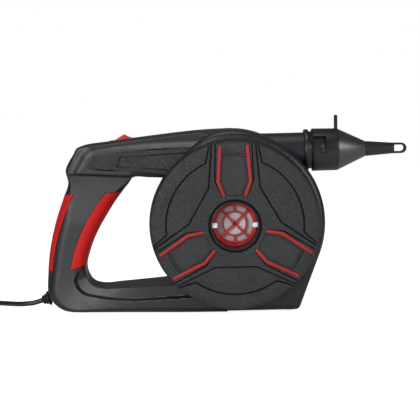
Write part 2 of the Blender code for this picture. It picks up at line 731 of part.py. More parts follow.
def make_impeller():
    """Closed back plate, hub and nine backward-curved blades in one moulding."""
    profile = [(SHAFT_R + GAP, 7.9), (SHAFT_R + GAP, 22.0), (7.0, 22.0), (9.0, 9.7)]
    profile += [(IMPELLER_R, 9.7), (IMPELLER_R, 7.9)]
    impeller = turned_object("impeller", profile, FAN_PLASTIC, 30,
                             location=FAN_AXIS, rotation=FACING_INTAKE)
    bm = bmesh.new()
    blades = 9
    for index in range(blades):
        turn = math.tau * index / blades
        path = []
        for step in range(4):
            share = step / 3
            radius = 24.0 + (IMPELLER_R - 24.5) * share
            angle = turn + math.radians(42) * share
            path.append(Vector((radius * math.cos(angle), radius * math.sin(angle))))
        prism(bm, offset_path(path, 1.6), 9.0, 27.0, "Z")
    fuse(impeller, finish("blades", bm, FAN_PLASTIC, location=FAN_AXIS, rotation=FACING_INTAKE))
    return impeller


def ring_object(name, inner, outer, low, high, finish_material, facets=FINE):
    """A plain ring on the fan axis; low and high are Y places."""
    profile = [(inner, -high), (inner, -low), (outer, -low), (outer, -high)]
    return turned_object(name, profile, finish_material, facets,
                         location=FAN_AXIS, rotation=FACING_INTAKE)


def arc_block(name, inner, outer, start, span, low, high, finish_material, steps=8):
    """A part of a ring on the fan axis; low and high are Y places."""
    bm = bmesh.new()
    sector(bm, inner, outer, start, start + span, -high, -low, steps)
    return finish(name, bm, finish_material, location=FAN_AXIS, rotation=FACING_INTAKE)


def make_motor():
    """Permanent-magnet motor: can, bushes, magnets, wound armature, commutator and brushes."""
    ring_object("inlet_plate", PORT_R + GAP, 72.0, -32.7, -30.6, GREY_PLASTIC, 32)
    backplate = ring_object("fan_backplate", 9.0, 76.3, -5.0, -2.6, GREY_PLASTIC, 32)
    screw_spots = [(x, AXIS_Z) for x in (-MOTOR_SCREW_X, MOTOR_SCREW_X)]
    bores = [((x, -8, z), (x, 1, z), SCREW_BORE) for x, z in screw_spots]
    cut(backplate, rods_object("bores", bores, GREY_PLASTIC, 16))
    inner = CAN_R - 1.5
    profile = [(6.4, 2.2), (CAN_R, 2.2), (CAN_R, -37.8), (inner, -37.8), (inner, 0.6), (6.4, 0.6)]
    can = turned_object("motor_can", profile, ZINC_STEEL, 24, location=FAN_AXIS, rotation=FACING_INTAKE)
    cut(can, rods_object("bores", bores, ZINC_STEEL, 16))
    for number, (x, z) in enumerate(screw_spots, 1):
        make_screw(f"motor_screw_{number}", (x, -6.3, z), (0, 1, 0), 3.0, 1.0, 9.3)
    ring_object("motor_end_cap", 5.5, CAN_R, 38.1, 41.2, GREY_PLASTIC, 32)
    ring_object("front_bush", SHAFT_R + 0.09, 6.1, -2.2, 3.2, BRONZE)
    ring_object("rear_bush", SHAFT_R + 0.09, 5.2, 37.4, 42.0, BRONZE)
    for number, start in enumerate((-62, 118), 1):
        arc_block(f"magnet_{number}", 19.4, inner - GAP, start, 124, 7.0, 32.0, FERRITE)
    rods_object("motor_shaft", [((0, -26.0, 0), (0, 42.8, 0), SHAFT_R)], STEEL, location=FAN_AXIS)
    core = ring_object("armature", SHAFT_R + GAP, 18.8, 9.0, 28.0, STEEL, 30)
    for index in range(5):
        cut(core, winding_slot(index))
    for low, high in ((4.4, 9.5), (27.5, 32.2)):
        fuse(core, ring_object("winding_head", 6.5, 15.5, low, high, COPPER, 20))
    ring_object("commutator", SHAFT_R + GAP, 6.0, 32.6, 37.0, COPPER)
    for number, hand in enumerate((-1, 1), 1):
        low, high = sorted((AXIS_Z + hand * 6.4, AXIS_Z + hand * 16.0))
        blocks_object(f"carbon_brush_{number}", [((-2.2, 33.2, low), (2.2, 36.6, high))], CARBON)
    ring_object("motor_ring", CAN_R + GAP, 28.3, 22.0, 32.0, BLACK_RUBBER, 32)
    nut = rods_object("impeller_nut", [((0, -25.4, 0), (0, -22.3, 0), 4.8)], BRASS, 6, location=FAN_AXIS)
    cut(nut, rods_object("thread", [((0, -27, 0), (0, -20, 0), SHAFT_R + GAP)], BRASS,
                         location=FAN_AXIS))


def winding_slot(index):
    """One winding slot of the armature core."""
    bm = bmesh.new()
    middle = 72 * index
    sector(bm, 9.0, 20.0, middle - 9, middle + 9, -29.0, -8.0, 1)
    return finish("winding_slot", bm, STEEL, location=FAN_AXIS, rotation=FACING_INTAKE)


def make_electrics():
    """Rectifier board, leads and cord clamp inside the shells."""
    board = blocks_object("rectifier_board", [((-53.0, 6.0, 64.0), (-51.4, 32.0, 98.0))], BOARD)
    fuse(board, blocks_object("bridge", [((-56.6, 9.0, 68.0), (-52.5, 18.0, 77.0))], BOARD))
    fuse(board, blocks_object("capacitor", [((-58.6, 20.0, 80.0), (-52.5, 30.0, 94.0))], BOARD))
    supply = [(-161.6, 0, 14.8), (-156.0, 0, 15.6), (-149.6, 0, 19.0), (-147.6, 0, 29), (-149.5, 0, 52),
              (-145.5, 0, 75), (-137.0, 0, 96), (-127.0, 0, 114), (-114.0, 0, 126.5), (-104.6, 0, 131.4)]
    lead("supply_lead", smooth_route(supply, 2), 1.4, CORD_PVC, 1)
    onward = [(-96.0, 0, 131.4), (-90.0, 1.5, 131), (-81.0, 6, 131.8), (-72.0, 9, 132), (-62.0, 13, 126),
              (-55.5, 17, 112), (-52.2, 19, 99.8)]
    lead("motor_lead", smooth_route(onward, 2), 1.4, CORD_PVC, 1)
    plate = ((CLAMP_X - 4.5, -8.5, 19.2), (CLAMP_X + 4.5, 8.5, 22.2))
    clamp = blocks_object("cord_clamp", [plate], GREY_PLASTIC)
    spots = [(CLAMP_X, y) for y in (-CLAMP_SCREW_Y, CLAMP_SCREW_Y)]
    cut(clamp, rods_object("bores", [((x, y, 15), (x, y, 25), 1.5) for x, y in spots], GREY_PLASTIC, 12))
    for number, (x, y) in enumerate(spots, 1):
        make_screw(f"clamp_screw_{number}", (x, y, 23.2), (0, 0, -1), 2.4, 0.7, 8.2, 1.2)


# ---------------------------------------------------------------- switch and grips
def make_switch():
    """Rocker switch let into the top bar."""
    near, far = SWITCH_X
    outline = [(near, SWITCH_FLOOR), (far, SWITCH_FLOOR), (far, 158.2), (near, 155.8)]
    body = prism_object("switch_body", [outline], -SWITCH_HALF_WIDTH, SWITCH_HALF_WIDTH, SWITCH_NYLON)
    reach = SWITCH_HALF_WIDTH - SWITCH_WALL - 0.1
    well = ((near + SWITCH_WALL, -reach, SWITCH_FLOOR + 5), (far - SWITCH_WALL, reach, 165.0))
    cut(body, blocks_object("well", [well], SWITCH_NYLON))
    pivot = [((ROCKER_X, -9, ROCKER_PIVOT_Z), (ROCKER_X, 9, ROCKER_PIVOT_Z), 1.5)]
    cut(body, rods_object("pivot_holes", pivot, SWITCH_NYLON, 16))
    outline = [(-10.1, 1.6), (-6.4, 4.6), (-0.8, 8.4), (2.4, 6.6), (5.6, 5.0), (9.7, 4.2)]
    outline += [(9.4, 1.0), (6.6, -5.8), (2.6, -8.0), (-2.6, -8.0), (-6.6, -5.8), (-9.4, -1.0)]
    rocker = prism_object("switch_rocker", [outline], -6.4, 6.4, RED_PLASTIC,
                          location=(ROCKER_X, 0, ROCKER_PIVOT_Z))
    fuse(rocker, rods_object("pivot", [((0, -7.7, 0), (0, 7.7, 0), 1.3)], RED_PLASTIC, 16,
                             location=(ROCKER_X, 0, ROCKER_PIVOT_Z)))
    for number, x in enumerate((-104.0, -96.0), 1):
        blade = ((x - 0.5, -2.4, 133.0), (x + 0.5, 2.4, 137.7))
        blocks_object(f"switch_terminal_{number}", [blade], BRASS)


def make_grips():
    """Soft pads on the rear and on the finger side of the grip."""
    grip_band("rear_grip_pad", REAR_PAD, PAD_REACH, -PAD_RISE, PAD_DEPTH, True, RED_RUBBER, REAR_PAD_ROWS)
    grip_band("front_grip_pad", FRONT_PAD, PAD_REACH, -PAD_RISE, PAD_DEPTH, False, RED_RUBBER,
              FRONT_PAD_ROWS)


def make_screw(name, seat, along, head_r, head_half, reach, shank_r=1.5):
    """A pan-head screw: seat is the middle of its head, along points from the head to its tip."""
    seat = Vector(seat)
    along = Vector(along)
    head = (seat - along * head_half, seat + along * head_half, head_r)
    screw = rods_object(name, [head], STEEL, 16)
    fuse(screw, rods_object("shank", [(seat, seat + along * reach, shank_r)], STEEL, 16))
    return screw


def make_fasteners():
    """Housing screws and feet."""
    for number, (x, z) in enumerate(HOUSING_SCREWS, 1):
        make_screw(f"housing_screw_{number}", (x, 11.2, z), (0, -1, 0), 3.3, 1.2, 25.2)
    for name, x, half_width in FEET:
        foot = ((x - FOOT_HALF_LENGTH, -half_width, 0), (x + FOOT_HALF_LENGTH, half_width, FOOT_TOP))
        blocks_object(name, [foot], BLACK_RUBBER)


# ---------------------------------------------------------------- outlet and nozzle
def make_spigot():
    """Outlet spigot: a sleeve held in the shells, a collar, and the male bayonet."""
    profile = [(11.6, 58.8), (13.3, 58.8), (13.3, TUBE_END + GAP), (COLLAR_R - 0.6, TUBE_END + GAP)]
    profile += [(COLLAR_R, TUBE_END + 1), (COLLAR_R, 68.4), (COLLAR_R - 0.6, 69.2), (SPIGOT_R, 69.2)]
    profile += [(SPIGOT_R, 87.6), (15.6, 87.6), (15.6, 90.4), (SPIGOT_R, 90.4), (SPIGOT_R, 92.6)]
    profile += [(16.4, 93.4), (14.6, 93.4), (14.0, 70.0)]
    spigot = turned_object("outlet_spigot", profile, NOZZLE_PLASTIC, 24,
                           location=OUTLET_AXIS, rotation=FACING_NOZZLE)
    for hand in (-1, 1):
        pin = [((PIN_X, hand * 15.4, TUBE_Z), (PIN_X, hand * 19.8, TUBE_Z), PIN_R)]
        fuse(spigot, rods_object("pin", pin, NOZZLE_PLASTIC, 16))
    seal = [(15.9, 87.9), (17.1, 87.9), (17.1, 90.1), (15.9, 90.1)]
    turned_object("spigot_seal", seal, BLACK_RUBBER, 24, location=OUTLET_AXIS, rotation=FACING_NOZZLE)


def curved_cutter(x_low, x_high, start, end, steps):
    """A block wrapped round the outlet axis between two angles above the intake side."""
    loops = []
    for index in range(steps + 1):
        angle = math.radians(start + (end - start) * index / steps)
        out, up = -math.cos(angle), math.sin(angle)
        corners = [(x_low, 16.0), (x_high, 16.0), (x_high, 22.0), (x_low, 22.0)]
        loops.append([Vector((x, radius * out, radius * up)) for x, radius in corners])
    return loops


def make_adaptor():
    """Nozzle adaptor with two J slots, a finger tab and a cone; it twists on the spigot."""
    profile = [(ADAPTOR_BORE, ADAPTOR_START), (ADAPTOR_R, ADAPTOR_START), (ADAPTOR_R - 0.3, ADAPTOR_SHOULDER)]
    profile += [(TIP_R, TIP_START), (5.3, TIP_START), (5.3, 112.0), (ADAPTOR_BORE, ADAPTOR_SHOULDER - 1)]
    adaptor = turned_object("nozzle_adaptor", profile, NOZZLE_PLASTIC, 24,
                            location=OUTLET_AXIS, rotation=FACING_NOZZLE)
    tab = blocks_object("tab", [((93.5, -4.5, TUBE_Z + 18.6), (95.8, 4.5, 174.8))], NOZZLE_PLASTIC)
    fuse(adaptor, tab)
    slack = math.degrees((PIN_R + GAP) / 18.4)
    for flip in (0, math.pi):
        for x_low, x_high, start, end in (
                (ADAPTOR_START - 2, PIN_X + PIN_R + GAP, TWIST_RANGE - slack, TWIST_RANGE + slack),
                (PIN_X - PIN_R - GAP, PIN_X + PIN_R + GAP, -slack, TWIST_RANGE + slack)):
            cut(adaptor, lofted("slot", curved_cutter(x_low, x_high, start, end, 4), NOZZLE_PLASTIC,
                                location=OUTLET_AXIS, rotation=(flip, 0, 0)))
    return adaptor


def make_tip():
    """Valve tip: a tapered tube that plugs into the cone and ends in a flat loop."""
    profile = [(0.0, 112.5), (5.0, 112.5), (5.0, TIP_START + GAP), (TIP_R, TIP_START + GAP), (4.9, 147.4)]
    profile += [(0.0, 147.4)]
    tip = turned_object("nozzle_tip", profile, NOZZLE_PLASTIC, 20, ring=False,
                        location=OUTLET_AXIS, rotation=FACING_NOZZLE)
    end = TIP_END - 4.75
    loop = [(143.0, -4.9)] + arc((end, 0), 4.75, -90, 90, 8) + [(143.0, 4.9)]
    fuse(tip, prism_object("loop", [[(x, z + TUBE_Z) for x, z in loop]], -2.0, 2.0, NOZZLE_PLASTIC))
    window = [(147.6, -3.0)] + arc((end - 0.6, 0), 3.0, -90, 90, 6) + [(147.6, 3.0)]
    cut(tip, prism_object("window", [[(x, z + TUBE_Z) for x, z in window]], -4, 4, NOZZLE_PLASTIC))
    cut(tip, rods_object("bore", [((111, 0, TUBE_Z), (148, 0, TUBE_Z), 3.2)], NOZZLE_PLASTIC, 16))
    return tip


# ---------------------------------------------------------------- cord
def make_cord():
    """Strain relief, free cord, stored coil and plug."""
    profile = [(0.0, -9.0), (6.2, -9.0), (6.2, -4.6), (4.2, -4.6), (4.2, 1.4), (6.75, 1.4), (6.75, 3.6)]
    profile += [(4.4, 3.8), (4.2, 6.6), (3.5, 6.8), (3.5, 8.0), (4.0, 8.2), (3.9, 10.4), (3.2, 10.6)]
    profile += [(3.2, 11.6), (3.6, 11.8), (3.4, 14.0), (0.0, 14.0)]
    turn = Vector((0, 0, 1)).rotation_difference(RELIEF_AXIS).to_euler()
    turned_object("strain_relief", profile, BLACK_RUBBER, 14, ring=False, location=RELIEF_ROOT,
                  rotation=turn)
    lead("mains_cord", smooth_route(CORD_ROUTE, 1), CORD_R, CORD_PVC, 3)
    lead("cord_tail", smooth_route(TAIL_ROUTE, 1), CORD_R, CORD_PVC, 3)
    low, high = COIL_MID_R - COIL_BUNDLE, COIL_MID_R + COIL_BUNDLE
    top = 2 * COIL_BUNDLE
    ease = CORD_R
    profile = [(low, ease), (low + ease, 0.0), (high - ease, 0.0), (high, ease), (high, top - ease)]
    profile += [(high - ease, top), (low + ease, top), (low, top - ease)]
    turned_object("cord_coil", profile, CORD_PVC, 24, location=(COIL_X, COIL_Y, 0))


def plug_loop(y, half_width, half_height):
    """Six-sided section of the flat plug."""
    bevel = half_height * 0.55
    corners = [(-half_width + bevel, -half_height), (half_width - bevel, -half_height), (half_width, 0.0),
               (half_width - bevel, half_height), (-half_width + bevel, half_height), (-half_width, 0.0)]
    return [Vector((PLUG_X + x, y, PLUG_HALF_HEIGHT + z)) for x, z in corners]


def make_plug():
    """Flat two-pin plug lying beside the coil, its pins pointing away along -Y."""
    face = PLUG_REAR_Y - PLUG_LENGTH
    sections = [(PLUG_REAR_Y, 6.5, 4.6), (PLUG_REAR_Y - 6, 9.0, 5.8)]
    sections += [(PLUG_REAR_Y - 20, 16.5, PLUG_HALF_HEIGHT), (face, PLUG_HALF_WIDTH, PLUG_HALF_HEIGHT)]
    loops = [plug_loop(*section) for section in sections]
    body = lofted("plug_body", loops, CORD_PVC)
    bm = bmesh.new()
    turned(bm, [(0.0, -4.0), (4.3, -4.0), (3.2, 12.0), (0.0, 12.0)], 16, ring=False)
    fuse(body, finish("plug_relief", bm, CORD_PVC, location=(PLUG_X, PLUG_REAR_Y, PLUG_HALF_HEIGHT),
                      rotation=FACING_MOTOR))
    for number, x in enumerate((PLUG_X - PLUG_PIN_X, PLUG_X + PLUG_PIN_X), 1):
        hole = ((x, face - 1, PLUG_HALF_HEIGHT), (x, face + 6, PLUG_HALF_HEIGHT), PLUG_PIN_R + GAP)
        cut(body, rods_object("pin_hole", [hole], CORD_PVC, 16))
        tip = face - PLUG_PIN_LENGTH
        pin = ((x, face + 5.7, PLUG_HALF_HEIGHT), (x, tip, PLUG_HALF_HEIGHT), PLUG_PIN_R)
        rods_object(f"plug_pin_{number}", [pin], BRASS, 16)


def make_all():
    shell_half("left_housing", -1)
    shell_half("right_housing", 1)
    make_cover()
    make_strips()
    make_port()
    make_grille()
    make_motor_cover()
    make_fan_scroll()
    make_impeller()
    make_motor()
    make_electrics()
    make_switch()
    make_grips()
    make_fasteners()
    make_spigot()
    make_adaptor()
    make_tip()
    make_cord()
    make_plug()


make_all()
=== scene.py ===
"""Visual model of a hand-held mains air pump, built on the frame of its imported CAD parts.

Meshes are modelled in millimetres in the maker's frame (X toward the nozzle, Y from the intake side to the
motor side, Z up from the table, origin below the fan axis) and settled into the row frame, in metres.
"""
import json
import logging
import math
from contextlib import contextmanager
from dataclasses import dataclass, field
from enum import Enum
from typing import Callable, Iterator, Sequence

import bmesh
import bpy
from mathutils import Matrix, Vector

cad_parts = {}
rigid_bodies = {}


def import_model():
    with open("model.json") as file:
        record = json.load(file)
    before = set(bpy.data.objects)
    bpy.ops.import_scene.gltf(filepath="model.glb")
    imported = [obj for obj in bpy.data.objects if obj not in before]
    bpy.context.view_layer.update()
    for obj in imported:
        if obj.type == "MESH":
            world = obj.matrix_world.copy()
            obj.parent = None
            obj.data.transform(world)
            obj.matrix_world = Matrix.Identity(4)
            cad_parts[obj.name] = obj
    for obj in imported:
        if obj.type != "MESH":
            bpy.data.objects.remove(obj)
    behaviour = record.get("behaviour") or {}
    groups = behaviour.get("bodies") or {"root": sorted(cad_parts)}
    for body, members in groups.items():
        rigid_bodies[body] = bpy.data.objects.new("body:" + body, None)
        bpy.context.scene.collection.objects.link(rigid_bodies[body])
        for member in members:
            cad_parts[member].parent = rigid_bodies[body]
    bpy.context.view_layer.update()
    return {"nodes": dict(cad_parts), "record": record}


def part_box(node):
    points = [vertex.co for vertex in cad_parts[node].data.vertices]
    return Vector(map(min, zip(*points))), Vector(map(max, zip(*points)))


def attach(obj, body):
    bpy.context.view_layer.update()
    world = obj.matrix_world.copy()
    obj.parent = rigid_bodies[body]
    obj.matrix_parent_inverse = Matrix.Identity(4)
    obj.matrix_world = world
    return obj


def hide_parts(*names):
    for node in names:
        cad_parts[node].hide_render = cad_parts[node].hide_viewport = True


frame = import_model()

LOG = logging.getLogger("air_pump")
MM = 0.001
FAN_HEIGHT = 80.7
OUTLET_HEIGHT = 143.5
FAN_AXIS = (0.0, 0.0, FAN_HEIGHT)   # a point of the fan's axis
FAN_FLAT = (0.0, FAN_HEIGHT)        # the same as (x, z)
FINE = 0.15     # half of the gap between the two shell halves
CORD_SLOPE = math.radians(17.0)     # how steeply the cord leaves the heel
CORD_EXIT = (-171.2, 0.0, 12.0)     # middle of the strain relief's flange
SCREW_PLACES = ((-143.0, 11.5), (-92.0, 12.5), (47.5, 11.0), (-131.0, 136.0))
NUDGE = Vector((0.009, 0.006, 0.011))

Point = tuple[float, float]
Place = tuple[float, float, float]
Colour = tuple[float, float, float]
Thing = bpy.types.Object
Tree = bpy.types.NodeTree
Node = bpy.types.Node
Socket = bpy.types.NodeSocket
Material = bpy.types.Material


# ------------------------------------------------------------------ places
def frame_shift() -> Vector:
    """Find the row-frame place of the maker's origin.

    Returns:
        The point below the fan axis in the parting plane, in metres.
    """
    port_low, port_high = (Vector(corner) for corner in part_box("intake_port"))
    left_high = Vector(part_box("left_housing")[1])
    right_low = Vector(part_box("right_housing")[0])
    return Vector(((port_low.x + port_high.x) / 2, (left_high.y + right_low.y) / 2, 0.0))


SHIFT = frame_shift()


def placed(point: Sequence[float]) -> Vector:
    """Turn a maker's point in millimetres into a row-frame point in metres."""
    return Vector(point) * MM + SHIFT


def arc(centre: Point, radius: float, start: float, end: float, steps: int) -> list[Point]:
    """List points on an arc.

    Args:
        centre: Middle of the arc.
        radius: Its radius.
        start: First angle in degrees.
        end: Last angle in degrees.
        steps: Number of chords.

    Returns:
        The points, both ends included.
    """
    angles = [math.radians(start + (end - start) * step / steps) for step in range(steps + 1)]
    return [(centre[0] + radius * math.cos(a), centre[1] + radius * math.sin(a)) for a in angles]


def outline_offset(points: Sequence[Point], distance: float) -> list[Point]:
    """Grow a counter-clockwise closed outline outwards by a distance, with mitred corners."""
    grown = []
    count = len(points)
    for index in range(count):
        here = Vector(points[index])
        before = (here - Vector(points[index - 1])).normalized()
        after = (Vector(points[(index + 1) % count]) - here).normalized()
        normal = Vector((before.y + after.y, -before.x - after.x)).normalized()
        reach = distance / max(0.35, normal.dot(Vector((before.y, -before.x))))
        grown.append(tuple(here + normal * reach))
    return grown


def band_outline(points: Sequence[Point], width: float) -> list[Point]:
    """Outline a band along an open path, counter-clockwise, mitred at its bends."""
    left, right = [], []
    for index, point in enumerate(points):
        here = Vector(point)
        steps = []
        if index > 0:
            steps.append((here - Vector(points[index - 1])).normalized())
        if index < len(points) - 1:
            steps.append((Vector(points[index + 1]) - here).normalized())
        tangent = sum(steps, Vector((0.0, 0.0))).normalized()
        normal = Vector((-tangent.y, tangent.x))
        reach = width / 2 / max(0.35, normal.dot(Vector((-steps[0].y, steps[0].x))))
        left.append(tuple(here + normal * reach))
        right.append(tuple(here - normal * reach))
    return right + list(reversed(left))


def mirrored(point: Point, angle: float) -> Point:
    """Reflect a point across the line through the origin at an angle in degrees."""
    double = math.radians(2 * angle)
    x, z = point
    return (x * math.cos(double) + z * math.sin(double), x * math.sin(double) - z * math.cos(double))


def turned_by(points: Sequence[Point], angle: float) -> list[Point]:
    """Turn flat points about the origin by an angle in degrees."""
    cos, sin = math.cos(math.radians(angle)), math.sin(math.radians(angle))
    return [(x * cos - z * sin, x * sin + z * cos) for x, z in points]


def eased(share: float) -> float:
    """Ease a share smoothly from 0 to 1, held level outside."""
    share = min(1.0, max(0.0, share))
    return share * share * (3 - 2 * share)


def signed_distance(point: Point, outline: Sequence[Point]) -> float:
    """Measure how far a flat point lies outside a closed outline, negative inside."""
    x, z = point
    nearest, inside = 1e9, False
    for (ax, az), (bx, bz) in zip(outline, list(outline[1:]) + [outline[0]]):
        dx, dz = bx - ax, bz - az
        share = min(1.0, max(0.0, ((x - ax) * dx + (z - az) * dz) / (dx * dx + dz * dz)))
        nearest = min(nearest, math.hypot(x - ax - share * dx, z - az - share * dz))
        if (az > z) != (bz > z) and x < ax + (z - az) / (bz - az) * dx:
            inside = not inside
    return -nearest if inside else nearest


def counter_clockwise(outline: Sequence[Point]) -> list[Point]:
    """Return a closed outline in counter-clockwise order."""
    pairs = zip(outline, list(outline[1:]) + [outline[0]])
    area = sum(ax * bz - bx * az for (ax, az), (bx, bz) in pairs)
    return list(outline) if area > 0 else list(outline)[::-1]


def sector(inner: float, outer: float, start: float, end: float, steps: int = 12) -> list[Point]:
    """Outline a part of a ring about the origin, counter-clockwise."""
    return arc((0.0, 0.0), outer, start, end, steps) + arc((0.0, 0.0), inner, end, start, steps)


# ------------------------------------------------------------------ finishes
class Grain(Enum):
    """Surface texture of a finish."""

    SPARK = "fine spark-eroded mould texture"
    LEATHER = "leather-like mould texture"
    WAFFLE = "fine crossed ribs"
    LINED = "fine rows of short dashes"
    BRUSHED = "drawn metal"
    SMOOTH = "polished"


@dataclass(frozen=True)
class Finish:
    """One procedural material, its pattern scales in millimetres.

    Attributes:
        name: Material name.
        colour: Base colour, linear.
        roughness: Middle roughness.
        metallic: 1 for bare metal.
        drift: How far the colour wanders over the surface.
        grain: Kind of surface texture.
        pitch: Size of the texture.
        depth: Height of the texture.
        coat: Weight of a clear gloss.
        rub: How much lighter handled spots are.
        shine: Specular level.
    """

    name: str
    colour: Colour
    roughness: float
    metallic: float = 0.0
    drift: float = 0.14
    grain: Grain = Grain.SPARK
    pitch: float = 0.45
    depth: float = 0.05
    coat: float = 0.0
    rub: float = 0.10
    shine: float = 0.5

    def material(self) -> Material:
        """Return the material, made on first use."""
        known = bpy.data.materials.get(self.name)
        return known if known else self._make()

    def _make(self) -> Material:
        """Build the node tree."""
        made = bpy.data.materials.new(self.name)
        made.use_nodes = True
        made.diffuse_color = (*self.colour, 1.0)
        tree = made.node_tree
        shader = tree.nodes["Principled BSDF"]
        shader.inputs["Metallic"].default_value = self.metallic
        shader.inputs["Specular IOR Level"].default_value = self.shine
        shader.inputs["Coat Weight"].default_value = self.coat
        shader.inputs["Coat Roughness"].default_value = 0.25
        coords = tree.nodes.new("ShaderNodeTexCoord")
        scale = tree.nodes.new("ShaderNodeMapping")
        scale.inputs["Scale"].default_value = (1000.0, 1000.0, 1000.0)
        tree.links.new(coords.outputs["Object"], scale.inputs["Vector"])
        self._colour(tree, scale, shader)
        self._roughness(tree, scale, shader)
        self._relief(tree, scale, shader)
        return made

    @staticmethod
    def _noise(tree: Tree, source: Node, size: float, detail: float) -> Node:
        """Add a noise whose blobs are about size millimetres."""
        noise = tree.nodes.new("ShaderNodeTexNoise")
        noise.inputs["Scale"].default_value = 1.0 / size
        noise.inputs["Detail"].default_value = detail
        tree.links.new(source.outputs["Vector"], noise.inputs["Vector"])
        return noise

    def _colour(self, tree: Tree, scale: Node, shader: Node) -> None:
        """Mottle the base colour slowly, with fine specks and paler rubbed patches."""
        slow = self._noise(tree, scale, 24.0, 4.0)
        ramp = tree.nodes.new("ShaderNodeValToRGB")
        ramp.color_ramp.elements[0].position = 0.32
        ramp.color_ramp.elements[1].position = 0.70
        for element, sign in zip(ramp.color_ramp.elements, (-1, 1)):
            element.color = (*[max(0.0, c * (1 + sign * self.drift)) for c in self.colour], 1.0)
        tree.links.new(slow.outputs["Fac"], ramp.inputs["Fac"])
        specks = self._noise(tree, scale, 0.9, 2.0)
        worn = tree.nodes.new("ShaderNodeMapRange")
        worn.inputs["From Min"].default_value = 0.55
        worn.inputs["From Max"].default_value = 0.80
        worn.inputs["To Max"].default_value = self.rub
        tree.links.new(specks.outputs["Fac"], worn.inputs["Value"])
        mix = tree.nodes.new("ShaderNodeMix")
        mix.data_type = "RGBA"
        mix.inputs[7].default_value = (*[min(1.0, c * 1.9 + 0.02) for c in self.colour], 1.0)
        tree.links.new(worn.outputs["Result"], mix.inputs[0])
        tree.links.new(ramp.outputs["Color"], mix.inputs[6])
        tree.links.new(mix.outputs[2], shader.inputs["Base Color"])

    def _roughness(self, tree: Tree, scale: Node, shader: Node) -> None:
        """Vary the roughness, as handling and mould flow do."""
        smudge = self._noise(tree, scale, 9.0, 5.0)
        reach = tree.nodes.new("ShaderNodeMapRange")
        reach.inputs["To Min"].default_value = max(0.05, self.roughness - 0.09)
        reach.inputs["To Max"].default_value = min(1.0, self.roughness + 0.09)
        tree.links.new(smudge.outputs["Fac"], reach.inputs["Value"])
        tree.links.new(reach.outputs["Result"], shader.inputs["Roughness"])

    def _relief(self, tree: Tree, scale: Node, shader: Node) -> None:
        """Bump the surface with the finish's grain over a slow unevenness."""
        height = self._grain_height(tree, scale)
        waviness = self._noise(tree, scale, 14.0, 2.0)
        low = tree.nodes.new("ShaderNodeBump")
        low.inputs["Distance"].default_value = 0.12 * MM
        low.inputs["Strength"].default_value = 0.35
        tree.links.new(waviness.outputs["Fac"], low.inputs["Height"])
        bump = tree.nodes.new("ShaderNodeBump")
        bump.inputs["Distance"].default_value = self.depth * MM
        bump.inputs["Strength"].default_value = 0.9
        tree.links.new(height, bump.inputs["Height"])
        tree.links.new(low.outputs["Normal"], bump.inputs["Normal"])
        tree.links.new(bump.outputs["Normal"], shader.inputs["Normal"])

    def _grain_height(self, tree: Tree, scale: Node) -> Socket:
        """Make the height pattern of the grain.

        Returns:
            The socket that carries the height.
        """
        if self.grain is Grain.LEATHER:
            cells = tree.nodes.new("ShaderNodeTexVoronoi")
            cells.feature = "DISTANCE_TO_EDGE"
            cells.inputs["Scale"].default_value = 1.0 / self.pitch
            tree.links.new(scale.outputs["Vector"], cells.inputs["Vector"])
            rise = tree.nodes.new("ShaderNodeMapRange")
            rise.inputs["From Max"].default_value = 0.35
            rise.interpolation_type = "SMOOTHSTEP"
            tree.links.new(cells.outputs["Distance"], rise.inputs["Value"])
            return rise.outputs["Result"]
        if self.grain in (Grain.WAFFLE, Grain.LINED):
            return self._ribs(tree, scale)
        if self.grain is Grain.BRUSHED:
            stretch = tree.nodes.new("ShaderNodeMapping")
            stretch.inputs["Scale"].default_value = (1.0, 0.06, 1.0)
            tree.links.new(scale.outputs["Vector"], stretch.inputs["Vector"])
            return self._noise(tree, stretch, self.pitch, 3.0).outputs["Fac"]
        detail = 1.0 if self.grain is Grain.SMOOTH else 5.0
        return self._noise(tree, scale, self.pitch, detail).outputs["Fac"]

    def _ribs(self, tree: Tree, scale: Node) -> Socket:
        """Cross two sets of ribs along X and Z; the dashes are longer along X."""
        stretch = 3.0 if self.grain is Grain.LINED else 1.0
        waves = []
        for direction, size in (("X", self.pitch * stretch), ("Z", self.pitch)):
            wave = tree.nodes.new("ShaderNodeTexWave")
            wave.wave_type = "BANDS"
            wave.bands_direction = direction
            wave.inputs["Scale"].default_value = 0.314 / size
            wave.inputs["Distortion"].default_value = 0.15
            tree.links.new(scale.outputs["Vector"], wave.inputs["Vector"])
            waves.append(wave)
        both = tree.nodes.new("ShaderNodeMath")
        both.operation = "MINIMUM"
        for slot, wave in enumerate(waves):
            tree.links.new(wave.outputs["Fac"], both.inputs[slot])
        return both.outputs["Value"]


BODY_BLACK = Finish("moulded_black", (0.0088, 0.0094, 0.0128), 0.38, pitch=0.7, depth=0.10, shine=0.45)
COVER_BLACK = Finish("cover_black", (0.0125, 0.0132, 0.0166), 0.46, drift=0.22, grain=Grain.LEATHER,
                     pitch=1.5, depth=0.30, shine=0.45)
PANEL_WAFFLE = Finish("panel_waffle", (0.0160, 0.0168, 0.0200), 0.50, drift=0.22, grain=Grain.WAFFLE,
                      pitch=1.3, depth=0.30, shine=0.5)
PANEL_GRAINED = Finish("panel_grained", (0.0160, 0.0167, 0.0200), 0.46, drift=0.22, grain=Grain.LEATHER,
                       pitch=1.2, depth=0.34, shine=0.5)
# Near-black finish for the cover's groove floors: painted shade in the grooves.
GROOVE_PAINTED_SHADE = Finish("groove_painted_shade", (0.0030, 0.0032, 0.0040), 0.60, pitch=0.4, depth=0.03, shine=0.15)
# Lighter, shinier copy of the nozzle plastic for the adaptor's cone: a painted highlight.
CONE_PAINTED_HIGHLIGHT = Finish("cone_painted_highlight", (0.0150, 0.0156, 0.0185), 0.36, grain=Grain.SMOOTH, pitch=1.2, depth=0.02,
                    shine=1.0)
NOZZLE_SATIN = Finish("nozzle_satin", (0.0092, 0.0097, 0.0122), 0.34, grain=Grain.SMOOTH, pitch=1.2,
                      depth=0.02, shine=0.45)
